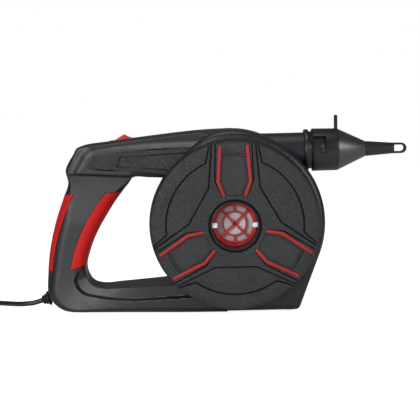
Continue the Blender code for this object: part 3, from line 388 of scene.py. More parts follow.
PAD_RED = Finish("pad_red", (0.50, 0.008, 0.008), 0.50, drift=0.07, pitch=0.35, depth=0.03, rub=0.04,
                 shine=0.3)
INLAY_RED = Finish("inlay_red", (0.30, 0.009, 0.009), 0.48, drift=0.12, pitch=0.4, depth=0.04, rub=0.06,
                   shine=0.4)
GLOSS_RED = Finish("gloss_red", (0.46, 0.008, 0.008), 0.32, drift=0.05, grain=Grain.SMOOTH, pitch=2.0,
                   depth=0.015, coat=0.2, rub=0.03, shine=0.4)
FOOT_RUBBER = Finish("foot_rubber", (0.008, 0.008, 0.009), 0.80, pitch=0.4, depth=0.05)
LEAD_PVC = Finish("lead_pvc", (0.008, 0.008, 0.009), 0.42, grain=Grain.SMOOTH, pitch=3.0, depth=0.03)
SWITCH_BLACK = Finish("switch_black", (0.009, 0.009, 0.010), 0.40, pitch=0.3, depth=0.03)
FAN_GREY = Finish("fan_grey", (0.86, 0.87, 0.89), 0.42, drift=0.04, grain=Grain.SMOOTH, pitch=1.5, depth=0.02,
                  rub=0.03)
FAN_WHEEL = Finish("fan_wheel", (0.55, 0.56, 0.59), 0.38, drift=0.06, grain=Grain.SMOOTH, pitch=1.5,
                   depth=0.02, rub=0.03)
INNER_GREY = Finish("inner_grey", (0.30, 0.31, 0.32), 0.50, pitch=0.5)
BRIGHT_STEEL = Finish("bright_steel", (0.55, 0.56, 0.58), 0.28, 1.0, grain=Grain.BRUSHED, pitch=0.3)
ZINC_PLATE = Finish("zinc_plate", (0.58, 0.59, 0.62), 0.36, 1.0, grain=Grain.BRUSHED, pitch=0.5)
SINTERED_BRONZE = Finish("sintered_bronze", (0.50, 0.31, 0.14), 0.45, 1.0, pitch=0.2)
PLAIN_BRASS = Finish("plain_brass", (0.76, 0.58, 0.27), 0.26, 1.0, grain=Grain.BRUSHED, pitch=0.3, depth=0.02)
WOUND_COPPER = Finish("wound_copper", (0.70, 0.30, 0.15), 0.35, 1.0, grain=Grain.LINED, pitch=0.5)
MAGNET_GREY = Finish("magnet_grey", (0.08, 0.08, 0.085), 0.70, pitch=0.6)
BRUSH_CARBON = Finish("brush_carbon", (0.045, 0.045, 0.047), 0.62, pitch=0.3)
CIRCUIT_GREEN = Finish("circuit_green", (0.04, 0.18, 0.08), 0.50, grain=Grain.WAFFLE, pitch=0.8)


# ------------------------------------------------------------------ bench
class Bench:
    """Modelling moves that every piece is made with."""

    @staticmethod
    def clear() -> None:
        """Deselect everything, so that no move touches another piece."""
        for thing in bpy.context.view_layer.objects:
            thing.select_set(False)

    @classmethod
    def take(cls, thing: Thing) -> None:
        """Select one object alone and make it the active one."""
        cls.clear()
        thing.select_set(True)
        bpy.context.view_layer.objects.active = thing

    @classmethod
    @contextmanager
    def editing(cls, thing: Thing) -> Iterator[bmesh.types.BMesh]:
        """Open an object in edit mode with nothing selected.

        Args:
            thing: The mesh object.

        Yields:
            Its edit mesh, for selecting by place or normal.
        """
        cls.take(thing)
        bpy.ops.object.mode_set(mode="EDIT")
        bpy.ops.mesh.select_all(action="DESELECT")
        yield bmesh.from_edit_mesh(thing.data)
        bpy.ops.object.mode_set(mode="OBJECT")

    @classmethod
    def tidy(cls, thing: Thing, merge: float = 0.001, outward: bool = True) -> None:
        """Merge doubles and turn the faces outward."""
        with cls.editing(thing):
            bpy.ops.mesh.select_all(action="SELECT")
            bpy.ops.mesh.remove_doubles(threshold=merge)
            if outward:
                bpy.ops.mesh.normals_make_consistent(inside=False)

    @classmethod
    def loop(cls, name: str, points: Sequence[Sequence[float]], filled: bool = False) -> Thing:
        """Add a circle and move its corners to a closed outline.

        Args:
            name: Name of the object.
            points: Corners in order.
            filled: True for one face inside.

        Returns:
            The new object.
        """
        cls.clear()
        fill = "NGON" if filled else "NOTHING"
        bpy.ops.mesh.primitive_circle_add(vertices=len(points), radius=1.0, fill_type=fill)
        made = bpy.context.active_object
        made.name = made.data.name = name
        made.data.vertices.foreach_set("co", [value for point in points for value in point])
        made.data.update()
        return made

    @classmethod
    def turn(cls, name: str, profile: Sequence[Point], axis: str, steps: int = 96,
             centre: Place = (0.0, 0.0, 0.0)) -> Thing:
        """Spin a closed profile of (radius, along) points about an axis.

        Args:
            name: Name of the object.
            profile: Corners in order; those with no radius lie on the axis.
            axis: "X", "-Y" or "Y", the way that along grows.
            steps: Chords round the turn.
            centre: A point that the axis passes.

        Returns:
            The closed turned solid.
        """
        ways = {"X": ((0, 0, 1), (1, 0, 0)), "Y": ((1, 0, 0), (0, 1, 0)), "-Y": ((1, 0, 0), (0, -1, 0))}
        out, along = (Vector(way) for way in ways[axis])
        middle = Vector(centre)
        made = cls.loop(name, [middle + out * radius + along * height for radius, height in profile])
        with cls.editing(made) as bm:
            bm.edges.ensure_lookup_table()
            on_axis = [edge for edge in bm.edges
                       if all((vert.co - middle).cross(along).length < 1e-6 for vert in edge.verts)]
            for edge in on_axis:
                edge.select = True
            bmesh.update_edit_mesh(made.data)
            if on_axis:
                bpy.ops.mesh.delete(type="EDGE")
            bpy.ops.mesh.select_all(action="SELECT")
            bpy.ops.mesh.spin(steps=steps, angle=math.tau, center=middle, axis=along, use_auto_merge=False)
        cls.tidy(made)
        return made

    @classmethod
    def prism(cls, name: str, outline: Sequence[Point], low: float, high: float,
              centre: Point = (0.0, 0.0)) -> Thing:
        """Extrude a flat outline between two levels of Y.

        Args:
            name: Name of the object.
            outline: (x, z) corners.
            low: Y of the first face.
            high: Y of the last face.
            centre: Added to every corner.

        Returns:
            The closed prism.
        """
        made = cls.loop(name, [(x + centre[0], low, z + centre[1]) for x, z in outline], filled=True)
        with cls.editing(made):
            bpy.ops.mesh.select_all(action="SELECT")
            bpy.ops.mesh.extrude_region_move(TRANSFORM_OT_translate={"value": (0.0, high - low, 0.0)})
        cls.tidy(made)
        return made

    @classmethod
    def skin(cls, name: str, loops: Sequence[Sequence[Sequence[float]]], ring: bool = False) -> Thing:
        """Wrap a grid over equal closed sections.

        Args:
            name: Name of the object.
            loops: Sections in order, each a closed loop of points.
            ring: True if the last section joins the first, else both ends are capped.

        Returns:
            The closed solid.
        """
        rows = [list(section) + [section[0]] for section in loops]
        if ring:
            rows.append(rows[0])
        cls.clear()
        bpy.ops.mesh.primitive_grid_add(x_subdivisions=len(rows[0]) - 1, y_subdivisions=len(rows) - 1,
                                        size=1.0)
        made = bpy.context.active_object
        made.name = made.data.name = name
        flat = [value for row in rows for point in row for value in point]
        made.data.vertices.foreach_set("co", flat)
        made.data.update()
        cls.tidy(made, merge=1e-5, outward=False)
        if not ring:
            with cls.editing(made):
                bpy.ops.mesh.select_mode(type="EDGE")
                bpy.ops.mesh.select_non_manifold(extend=False)
                bpy.ops.mesh.fill_holes(sides=0)
                bpy.ops.mesh.select_mode(type="VERT")
        cls.tidy(made, merge=1e-5)
        return made

    @classmethod
    def block(cls, name: str, low: Place, high: Place) -> Thing:
        """Add a cube between two corners, to be shaped further or to cut with."""
        cls.clear()
        middle = (Vector(low) + Vector(high)) / 2
        bpy.ops.mesh.primitive_cube_add(size=1.0, location=middle)
        made = bpy.context.active_object
        made.name = made.data.name = name
        made.scale = Vector(high) - Vector(low)
        bpy.ops.object.transform_apply(location=True, rotation=True, scale=True)
        return made

    @classmethod
    def rod(cls, name: str, start: Place, end: Place, radius: float, sides: int = 32) -> Thing:
        """Add a cylinder between two points, to be shaped further or to cut with."""
        cls.clear()
        first, last = Vector(start), Vector(end)
        turn = (last - first).to_track_quat("Z", "Y").to_euler()
        bpy.ops.mesh.primitive_cylinder_add(vertices=sides, radius=radius, depth=(last - first).length,
                                            location=(first + last) / 2, rotation=turn)
        made = bpy.context.active_object
        made.name = made.data.name = name
        bpy.ops.object.transform_apply(location=True, rotation=True, scale=True)
        return made

    @classmethod
    def apply(cls, thing: Thing, kind: str, **settings: object) -> None:
        """Add one modifier and apply it."""
        cls.take(thing)
        step = thing.modifiers.new(kind.lower(), kind)
        for key, value in settings.items():
            setattr(step, key, value)
        bpy.ops.object.modifier_apply(modifier=step.name)

    @classmethod
    def boolean(cls, thing: Thing, tool: Thing, operation: str) -> None:
        """Combine a piece with a tool object and drop the tool.

        Faces that nearly coincide can make the solver return nothing; the tool is then nudged and used again.
        """
        for _ in range(6):
            before = thing.data.copy()
            cls.apply(thing, "BOOLEAN", operation=operation, solver="EXACT", object=tool)
            if len(thing.data.polygons) > 3:
                break
            LOG.warning("%s: %s with %s gave nothing, nudged", thing.name, operation, tool.name)
            thing.data = before
            tool.location += NUDGE
        else:
            raise ValueError(f"{thing.name}: {operation} with {tool.name} failed")
        bpy.data.objects.remove(tool, do_unlink=True)

    @classmethod
    def cut(cls, thing: Thing, tool: Thing) -> None:
        """Take a tool's shape out of a piece."""
        cls.boolean(thing, tool, "DIFFERENCE")

    @classmethod
    def fuse(cls, thing: Thing, tool: Thing) -> None:
        """Join a tool's shape to a piece."""
        cls.boolean(thing, tool, "UNION")

    @classmethod
    def soften(cls, thing: Thing, width: float, segments: int = 2, angle: float = 35.0) -> None:
        """Round the edges that are sharper than an angle."""
        cls.apply(thing, "BEVEL", width=width, segments=segments, limit_method="ANGLE",
                  angle_limit=math.radians(angle), use_clamp_overlap=True)

    @classmethod
    def drafted(cls, name: str, outline: Sequence[Point], top: float, floor: float, draft: float,
                centre: Point = (0.0, 0.0)) -> Thing:
        """Make a cutter for a pocket in a face that looks along -Y, its walls leaning outward.

        Args:
            name: Name of the object.
            outline: Counter-clockwise (x, z) corners at the pocket's floor.
            top: Y just clear of the face.
            floor: Y of the pocket's floor.
            draft: How far the outline grows up to the face.
            centre: Added to every corner.

        Returns:
            The closed cutter.
        """
        wide = outline_offset(outline, draft)
        loops = [[(x + centre[0], level, z + centre[1]) for x, z in corners]
                 for level, corners in ((floor, outline), (top, wide))]
        return cls.skin(name, loops)

    @classmethod
    def rail(cls, name: str, outline: Sequence[Point], grow: float, shrink: float, floor: float, top: float,
             centre: Point = (0.0, 0.0)) -> Thing:
        """Make a cutter for a groove along a closed counter-clockwise outline.

        Args:
            name: Name of the object.
            outline: (x, z) corners.
            grow: How far the groove reaches outside the outline.
            shrink: How far it reaches inside.
            floor: Y of its floor.
            top: Y of its open side.
            centre: Added to every corner.

        Returns:
            The closed ring.
        """
        loops = []
        for wide, narrow in zip(outline_offset(outline, grow), outline_offset(outline, -shrink)):
            loops.append([(corner[0] + centre[0], level, corner[1] + centre[1])
                          for corner, level in ((wide, top), (wide, floor), (narrow, floor), (narrow, top))])
        return cls.skin(name, loops, ring=True)

    @classmethod
    def finish(cls, thing: Thing, finish: Finish, body: str, nodes: Sequence[str] = (),
               slot: str = "", angle: float = 32.0, extra: Sequence[Finish] = ()) -> Thing:
        """Settle a piece in the row frame, dress it and give it its body.

        Args:
            thing: The piece, modelled in millimetres.
            finish: Its material.
            body: CAD body that it rides on.
            nodes: CAD nodes that it stands for.
            slot: Material slot of the record; not used.
            angle: Edges flatter than this are shaded smooth.
            extra: More materials, for faces with a slot number of their own.

        Returns:
            The same piece.
        """
        cls.take(thing)
        thing.scale = (MM, MM, MM)
        thing.location = SHIFT
        bpy.ops.object.transform_apply(location=True, rotation=True, scale=True)
        bpy.ops.object.shade_smooth_by_angle(angle=math.radians(angle))
        kept = [polygon.material_index for polygon in thing.data.polygons] if extra else []
        thing.data.materials.clear()
        for one in (finish, *extra):
            thing.data.materials.append(one.material())
        if kept:
            thing.data.polygons.foreach_set("material_index", kept)
        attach(thing, body)
        if nodes:
            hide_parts(*nodes)
        LOG.info("%s: %d faces on %s", thing.name, len(thing.data.polygons), body)
        return thing


# ------------------------------------------------------------------ studio
@dataclass
class Studio:
    """Camera, pale floor and soft light.

    Attributes:
        target: What the camera looks at, in the maker's frame.
        distance: From the target to the camera, in millimetres.
        elevation: Camera's height above the horizon, in degrees.
        roll: How far the camera leans, in degrees.
        half_width: Half of what it sees at the target, in millimetres.
    """

    target: Place = (-21.7, 0.0, 90.2)
    distance: float = 1000.0
    elevation: float = 6.0
    roll: float = 1.3
    half_width: float = 193.2

    def build(self) -> None:
        """Set the camera, floor, lights and sky."""
        self._camera()
        self._floor()
        self._lamp("lamp_top", (-140.0, -160.0, 1100.0), 0.7, 3.4)
        self._lamp("lamp_front", (-560.0, -1080.0, 400.0), 0.7, 9.5)
        self._lamp("lamp_right", (820.0, -730.0, 440.0), 0.5, 4.4)
        self._sky()

    def _camera(self) -> None:
        """Add the camera and make it the scene's."""
        lens = bpy.data.cameras.new("camera")
        lens.sensor_width = 36.0
        lens.lens = lens.sensor_width / 2 * self.distance / self.half_width
        lens.clip_start, lens.clip_end = 0.05, 20.0
        camera = bpy.data.objects.new("camera", lens)
        bpy.context.collection.objects.link(camera)
        tilt, lean = math.radians(self.elevation), math.radians(self.roll)
        back = Vector((0.0, -math.cos(tilt), math.sin(tilt)))
        upright = Vector((0.0, math.sin(tilt), math.cos(tilt)))
        level = Vector((1.0, 0.0, 0.0))
        right = level * math.cos(lean) - upright * math.sin(lean)
        up = level * math.sin(lean) + upright * math.cos(lean)
        turn = Matrix((right, up, back)).transposed().to_4x4()
        place = placed(self.target) + back * self.distance * MM
        camera.matrix_world = Matrix.Translation(place) @ turn
        bpy.context.scene.camera = camera

    @staticmethod
    def _floor() -> None:
        """Lay a wide pale floor."""
        Bench.clear()
        bpy.ops.mesh.primitive_plane_add(size=16.0, location=(0.0, 3.0, 0.0))
        floor = bpy.context.active_object
        floor.name = floor.data.name = "floor"
        paper = bpy.data.materials.new("paper")
        paper.use_nodes = True
        shader = paper.node_tree.nodes["Principled BSDF"]
        shader.inputs["Base Color"].default_value = (0.93, 0.93, 0.93, 1.0)
        shader.inputs["Roughness"].default_value = 0.9
        shader.inputs["Specular IOR Level"].default_value = 0.1
        shader.inputs["Emission Color"].default_value = (1.0, 1.0, 1.0, 1.0)
        seen = paper.node_tree.nodes.new("ShaderNodeLightPath")
        reach = paper.node_tree.nodes.new("ShaderNodeMapRange")
        reach.inputs["To Max"].default_value = 0.86
        paper.node_tree.links.new(seen.outputs["Is Camera Ray"], reach.inputs["Value"])
        paper.node_tree.links.new(reach.outputs["Result"], shader.inputs["Emission Strength"])
        floor.data.materials.append(paper)

    @staticmethod
    def _lamp(name: str, place: Place, size: float, power: float) -> None:
        """Add a square soft lamp that faces the pump.

        Args:
            name: Name of the lamp.
            place: Where it stands, in the maker's frame.
            size: Side of the square, in metres.
            power: Its power, in watts.
        """
        lamp = bpy.data.lights.new(name, "AREA")
        lamp.shape = "SQUARE"
        lamp.size = size
        lamp.energy = power
        made = bpy.data.objects.new(name, lamp)
        bpy.context.collection.objects.link(made)
        made.location = placed(place)
        aim = placed((-20.0, 0.0, 80.0)) - made.location
        made.rotation_euler = aim.to_track_quat("-Z", "Y").to_euler()

    @staticmethod
    def _sky() -> None:
        """Light the scene softly from all round; the camera itself sees plain white."""
        world = bpy.data.worlds.new("sky")
        world.use_nodes = True
        sky = world.node_tree.nodes["Background"]
        sky.inputs["Color"].default_value = (1.0, 1.0, 1.0, 1.0)
        seen = world.node_tree.nodes.new("ShaderNodeLightPath")
        reach = world.node_tree.nodes.new("ShaderNodeMapRange")
        reach.inputs["To Min"].default_value = 0.15
        reach.inputs["To Max"].default_value = 1.0
        world.node_tree.links.new(seen.outputs["Is Camera Ray"], reach.inputs["Value"])
        world.node_tree.links.new(reach.outputs["Result"], sky.inputs["Strength"])
        bpy.context.scene.world = world
        bpy.context.scene.view_settings.view_transform = "Standard"


# ------------------------------------------------------------------ mains lead
@dataclass
class MainsLead:
    """Mains cord with its strain relief, stored coil, tie and two-pin plug.

    Attributes:
        radius: Of the cord.
        route: Centreline from the strain relief to the coil.
        coil_middle: Centre of the coil on the table.
        columns: Radii of the coil's turns, inner to outer.
        layers: Heights of the turns.
        slots: (column, layer) of each turn in the order wound.
        shifts: Angle where each turn moves to the next slot, in degrees.
        shift_span: Degrees that a move takes.
        leave: Angle where the last turn comes off outside the coil.
        tail: Centreline from the coil to the plug.
        plug_x: Middle of the plug.
        plug_rear: Y of the rear of its body.
        plug_length: From there to its face.
        plug_half: Half of its thickness.
    """

    radius: float = 2.3
    route: tuple[Place, ...] = (
        (-178.2, 0.0, 9.8), (-180.4, 0.0, 9.15), (-184.6, 0.0, 7.9), (-188.0, 0.0, 7.15), (-191.5, 0.3, 6.8),
        (-195.5, 1.5, 6.3), (-199.5, 3.7, 5.8), (-203.1, 6.6, 5.3), (-206.8, 10.2, 4.8), (-211.0, 14.4, 4.3),
        (-215.0, 18.5, 3.8), (-219.0, 22.5, 3.3), (-223.0, 26.6, 2.8), (-227.0, 30.6, 2.45),
        (-230.8, 34.4, 2.35), (-234.6, 38.2, 2.35), (-238.6, 42.3, 2.35), (-242.7, 46.5, 2.35))
    coil_middle: Point = (-268.0, 29.8)
    columns: tuple[float, ...] = (20.7, 25.25, 29.8, 34.4)
    layers: tuple[float, ...] = (2.35, 6.95, 11.55)
    slots: tuple[tuple[int, int], ...] = ((2, 0), (1, 0), (0, 0), (0, 1), (0, 2), (1, 2), (1, 1), (2, 1),
                                          (2, 2))
    shifts: tuple[float, ...] = (358.0, 718.0, 1030.0, 1390.0, 1702.0, 2014.0, 2326.0, 2638.0)
    shift_span: float = 95.0
    leave: float = 2970.0
    tail: tuple[Place, ...] = (
        (-302.3, 24.0, 2.35), (-301.9, 18.0, 2.4), (-301.0, 12.5, 2.7), (-299.7, 7.0, 3.5),
        (-298.5, 2.0, 4.6), (-297.8, -2.5, 5.8), (-297.6, -6.0, 6.6), (-297.6, -9.5, 6.8))
    plug_x: float = -297.6
    plug_rear: float = -20.5
    plug_length: float = 35.0
    plug_half: float = 6.8

    def build(self) -> None:
        plug = self._plug()
        tie = self._tie()
        relief = self._relief()
        cord = self._cord()
        LOG.info("mains lead with %s and %s", cord.name, relief.name)

    def _coil_points(self) -> list[Place]:
        """List the coil's centreline, winding inward, up and outward slot by slot."""
        points = []
        angle = 52.0
        last = self.leave + 85.0
        while angle <= last:
            column, layer = self.slots[0]
            radius, height = self.columns[column], self.layers[layer]
            for start, (next_column, next_layer) in zip(self.shifts, self.slots[1:]):
                share = eased((angle - start) / self.shift_span)
                radius += (self.columns[next_column] - self.columns[column]) * share
                height += (self.layers[next_layer] - self.layers[layer]) * share
                column, layer = next_column, next_layer
            share = eased((angle - self.leave) / 88.0)
            radius += (self.columns[3] - self.columns[column]) * eased((angle - self.leave) / 60.0)
            height += (self.layers[0] - self.layers[layer]) * share
            turn = math.radians(angle)
            points.append((self.coil_middle[0] + radius * math.cos(turn),
                           self.coil_middle[1] + radius * math.sin(turn), height))
            angle += 9.0
        return points

    def _cord(self) -> Thing:
        """Draw the cord as one round curve."""
        line = [*self.route, *self._coil_points(), *self.tail]
        curve = bpy.data.curves.new("cord", "CURVE")
        curve.dimensions = "3D"
        curve.bevel_depth = self.radius * MM
        curve.bevel_resolution = 5
        curve.use_fill_caps = True
        spline = curve.splines.new("POLY")
        spline.points.add(len(line) - 1)
        for point, place in zip(spline.points, line):
            point.co = (*placed(place), 1.0)
        spline.use_smooth = True
        curve.materials.append(LEAD_PVC.material())
        cord = bpy.data.objects.new("cord", curve)
        bpy.context.collection.objects.link(cord)
        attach(cord, "pump")
        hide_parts("mains_cord", "cord_coil", "cord_tail")
        return cord

    def _tie(self) -> Thing:
        """Wrap a flat tie round the coil's bundle."""
        turn = math.radians(-62.0)
        outward = Vector((math.cos(turn), math.sin(turn), 0.0))
        sideways = Vector((-outward.y, outward.x, 0.0))
        middle = Vector((*self.coil_middle, self.layers[1])) + outward * self.columns[1]
        half_width, corner, half_depth = 1.6, 2.6, 0.35
        reach = (self.columns[2] - self.columns[0]) / 2 + self.radius + 0.5
        loops = []
        for centre, start in (((1, 1), 0), ((-1, 1), 90), ((-1, -1), 180), ((1, -1), 270)):
            for x, z in arc((0.0, 0.0), 1.0, start, start + 90, 6):
                rise = Vector((0, 0, centre[1] * (reach - corner)))
                at = middle + outward * (centre[0] * (reach - corner)) + rise
                way = outward * x + Vector((0, 0, z))
                loops.append([at + way * (corner + side * half_depth) + sideways * along * half_width
                              for along, side in ((-1, -1), (1, -1), (1, 1), (-1, 1))])
        lowest = min(point.z for section in loops for point in section)
        loops = [[point + Vector((0, 0, max(0.0, 0.05 - lowest))) for point in section] for section in loops]
        tie = Bench.skin("coil_tie", loops, ring=True)
        Bench.soften(tie, 0.15)
        return Bench.finish(tie, SWITCH_BLACK, "pump")

    def _relief(self) -> Thing:
        """Turn the ribbed strain relief and tilt it to the cord's way out."""
        profile = [(0.0, -9.0), (6.1, -9.0), (6.1, -4.8), (4.1, -4.6), (4.1, 0.4), (6.2, 0.6), (6.7, 1.0),
                   (6.7, 2.0), (6.2, 2.4), (4.6, 2.6), (4.3, 2.9), (4.3, 3.4), (5.0, 3.6), (5.1, 4.6),
                   (4.7, 4.9), (3.9, 5.0), (3.7, 5.3), (3.7, 5.8), (4.3, 6.0), (4.3, 7.0), (3.9, 7.3),
                   (3.3, 7.4), (3.1, 8.0), (2.5, 8.2), (2.5, 6.6), (0.0, 6.6)]
        relief = Bench.turn("cord_relief", profile, "X", 40)
        cos, sin = math.cos(CORD_SLOPE), math.sin(CORD_SLOPE)
        turn = Matrix(((-cos, 0, sin), (0, -1, 0), (-sin, 0, -cos)))
        relief.data.transform(Matrix.Translation(CORD_EXIT) @ turn.to_4x4())
        Bench.tidy(relief)
        return Bench.finish(relief, FOOT_RUBBER, "pump", ["strain_relief"], "black_rubber")

    def _plug(self) -> Thing:
        """Loft the flat plug, its ribbed relief and grip grooves."""
        stations = [(self.plug_rear + 0.6, 6.2, 4.2), (self.plug_rear - 1.5, 7.2, 5.0),
                    (self.plug_rear - 6.0, 9.2, 5.8), (self.plug_rear - 12.0, 13.6, 6.4),
                    (self.plug_rear - 18.0, 16.4, self.plug_half),
                    (self.plug_rear - 26.0, 17.3, self.plug_half),
                    (self.plug_rear - 33.8, 17.5, self.plug_half),
                    (self.plug_rear - self.plug_length, 16.9, self.plug_half - 0.6)]
        loops = []
        for y, wide, tall in stations:
            loops.append([(self.plug_x + wide * math.copysign(abs(math.cos(t)) ** 0.55, math.cos(t)), y,
                           self.plug_half + tall * math.copysign(abs(math.sin(t)) ** 0.75, math.sin(t)))
                          for t in (math.tau * step / 48 for step in range(48))])
        plug = Bench.skin("plug", loops)
        profile = [(0.0, -4.0), (4.6, -4.0), (4.5, 1.6), (3.6, 1.8), (3.6, 2.8), (4.2, 3.0), (4.1, 4.8),
                   (3.5, 5.0), (3.5, 6.0), (3.95, 6.2), (3.85, 8.0), (3.3, 8.2), (3.3, 9.2), (3.7, 9.4),
                   (3.5, 11.6), (2.5, 12.0), (2.5, 10.6), (0.0, 10.6)]
        middle = (self.plug_x, self.plug_rear, self.plug_half)
        Bench.fuse(plug, Bench.turn("plug_neck", profile, "Y", 36, middle))
        for step in range(3):
            for side in (-1, 1):
                y = self.plug_rear - 20.0 - 3.6 * step
                x = self.plug_x + side * 17.9
                groove = Bench.rod("groove", (x, y, -1.0), (x, y, 2 * self.plug_half + 1), 1.1, 16)
                Bench.cut(plug, groove)
        face = self.plug_rear - self.plug_length
        for side in (-1, 1):
            x = self.plug_x + side * 9.3
            hole = Bench.rod("pin_hole", (x, face - 1, self.plug_half), (x, face + 6, self.plug_half), 2.25,
                             24)
            Bench.cut(plug, hole)
        return Bench.finish(plug, LEAD_PVC, "pump", ["plug_body"], "cord_pvc", 50.0)


# ------------------------------------------------------------------ clam shell
@dataclass(frozen=True)
class Station:
    """One place along the loop handle.

    Attributes:
        outer: (x, z) on the silhouette.
        inner: (x, z) on the hand opening's edge.
        depth: Middle plane to the side face.
        outer_round: Rounding at the silhouette.
        inner_round: Rounding at the opening.
    """

    outer: Point
    inner: Point
    depth: float
    outer_round: float
    inner_round: float


@dataclass
class ClamShell:
    """The two moulded halves: drum, loop handle and outlet tube.

    Attributes:
        drum_radius: Of the fan drum.
        drum_depth: Middle plane to the drum's side face.
        drum_edge: Rounding of its side edge.
        toe_angle: Where the round leaves for the straight toe, in degrees.
        base: Height of the underside.
        wall: Thickness of the drum's wall.
        window: Radius of the round hole under each cover.
        tube: Radius, bore and end of the outlet tube.
        stations: The handle, from inside the drum along the bar, down the grip and forward along the base.
        rows: Sections skinned along the handle.
        panel: Raised side panel of the top bar, (x, z).
        panel_line: Groove round the framed part of that panel, open toward the drum.
        panel_drop: How far the bar's flank lies behind that panel.
        neck_drop: How far the neck under the bar lies behind the grip.
        scoop: Reach and depth of the scoop along the base's inner edge.
        relief_ends: Station where the bar's and neck's relief ends, and where the scoop begins.
        pad_spans: First and last station of the rear and of the finger pad.
        pad_reach: How far round each side those pads come.
        pad_depth: How deep their pockets are.
        pad_tops: Height where each of them is cut off level.
    """

    drum_radius: float = 84.0
    drum_depth: float = 36.0
    drum_edge: float = 6.0
    toe_angle: float = -21.0
    base: float = 1.2
    wall: float = 2.8
    window: float = 60.0
    tube: tuple[float, float, float] = (16.0, 13.6, 64.9)
    rows: int = 330
    panel_drop: float = 2.4
    neck_drop: float = 3.0
    scoop: tuple[float, float] = (12.0, 4.2)
    relief_ends: tuple[float, float] = (9.0, 10.4)
    stations: tuple[Station, ...] = (
        Station((0.0, 164.4), (-20.0, 120.0), 34.5, 7.0, 6.0),
        Station((-34.0, 163.3), (-46.0, 121.8), 29.5, 8.0, 6.0),
        Station((-76.0, 159.4), (-75.0, 122.8), 23.0, 8.0, 6.0),
        Station((-112.0, 155.3), (-89.8, 123.2), 20.0, 8.0, 5.0),
        Station((-137.6, 151.7), (-96.6, 115.6), 20.0, 7.5, 8.0),
        Station((-144.4, 144.2), (-101.8, 109.4), 19.5, 8.0, 11.0),
        Station((-151.6, 131.0), (-106.2, 104.0), 19.0, 9.0, 12.0),
        Station((-150.2, 118.5), (-110.8, 97.6), 18.2, 11.0, 13.0),
        Station((-154.8, 105.5), (-115.8, 89.8), 17.6, 13.0, 13.0),
        Station((-162.6, 84.0), (-123.6, 77.0), 17.5, 14.0, 14.0),
        Station((-168.6, 60.5), (-131.2, 61.0), 17.5, 14.0, 14.0),
        Station((-171.7, 36.0), (-136.6, 42.5), 18.0, 13.0, 10.0),
        Station((-171.4, 16.8), (-134.8, 30.6), 19.0, 10.0, 5.0),
        Station((-162.4, 5.4), (-129.3, 24.4), 20.5, 7.0, 4.0),
        Station((-148.0, 1.2), (-119.0, 22.2), 22.5, 5.0, 4.0),
        Station((-120.0, 1.2), (-106.0, 22.8), 25.5, 5.0, 4.0),
        Station((-85.0, 1.2), (-84.0, 23.9), 29.0, 5.0, 4.0),
        Station((-45.0, 1.2), (-50.0, 26.0), 33.5, 5.0, 4.0),
        Station((-8.0, 1.2), (-14.0, 28.0), 35.7, 5.0, 4.0))
    panel: tuple[Point, ...] = (
        (-138.5, 128.2), (-97.0, 125.2), (-60.0, 121.5), (0.0, 117.0), (0.0, 155.0), (-29.8, 153.6),
        (-67.6, 151.8), (-102.0, 149.2), (-119.0, 147.2), (-125.8, 145.6), (-130.8, 141.0))
    panel_line: tuple[Point, ...] = (
        (-26.0, 149.9), (-67.6, 148.4), (-102.0, 146.0), (-119.2, 143.6), (-124.6, 143.0), (-131.9, 131.5),
        (-119.6, 130.7), (-91.1, 128.3), (-61.9, 125.1), (-50.0, 123.9))
    pad_spans: tuple[tuple[float, float], ...] = ((7.3, 10.9), (5.0, 11.0))
    pad_reach: tuple[float, float] = (7.6, 13.0)
    pad_depth: float = 1.7
    pad_tops: tuple[float, float] = (108.6, 109.6)

    def build(self) -> None:
        """Make both halves, each on its side of the parting plane."""
        for side, name, nodes in ((-1, "shell_intake_side", ["left_housing"]),
                                  (1, "shell_motor_side", ["right_housing"])):
            shell = self._half(side, name)
            self._dress_panels(shell)
            Bench.finish(shell, BODY_BLACK, "pump", nodes, "black_abs", 28.0, (PANEL_GRAINED,))

    # -------------------------------------------------------------- handle sections
    def station(self, place: float) -> Station:
        """Blend the handle's station at a fractional index with a Catmull-Rom curve."""
        index = min(int(place), len(self.stations) - 2)
        share = place - index
        around = [self.stations[max(0, min(len(self.stations) - 1, index + step))] for step in (-1, 0, 1, 2)]

        def mixed(read: Callable[[Station], float]) -> float:
            """Blend one number of the four stations."""
            before, start, end, after = (read(one) for one in around)
            cubic = 3 * (start - end) + after - before
            square = 2 * before - 5 * start + 4 * end - after
            return start + 0.5 * share * (end - before + share * (square + share * cubic))

        return Station((mixed(lambda s: s.outer[0]), max(self.base, mixed(lambda s: s.outer[1]))),
                       (mixed(lambda s: s.inner[0]), mixed(lambda s: s.inner[1])),
                       mixed(lambda s: s.depth), mixed(lambda s: s.outer_round),
                       mixed(lambda s: s.inner_round))

    @staticmethod
    def _across(station: Station, along: float, out: float, side: int) -> Place:
        """Place a section point: along from the outer edge, out from the middle plane."""
        line = (Vector(station.inner) - Vector(station.outer)).normalized()
        x, z = Vector(station.outer) + line * along
        return (x, side * out, z)

    @staticmethod
    def _width(station: Station) -> float:
        """Measure the handle from silhouette to opening."""
        return (Vector(station.inner) - Vector(station.outer)).length

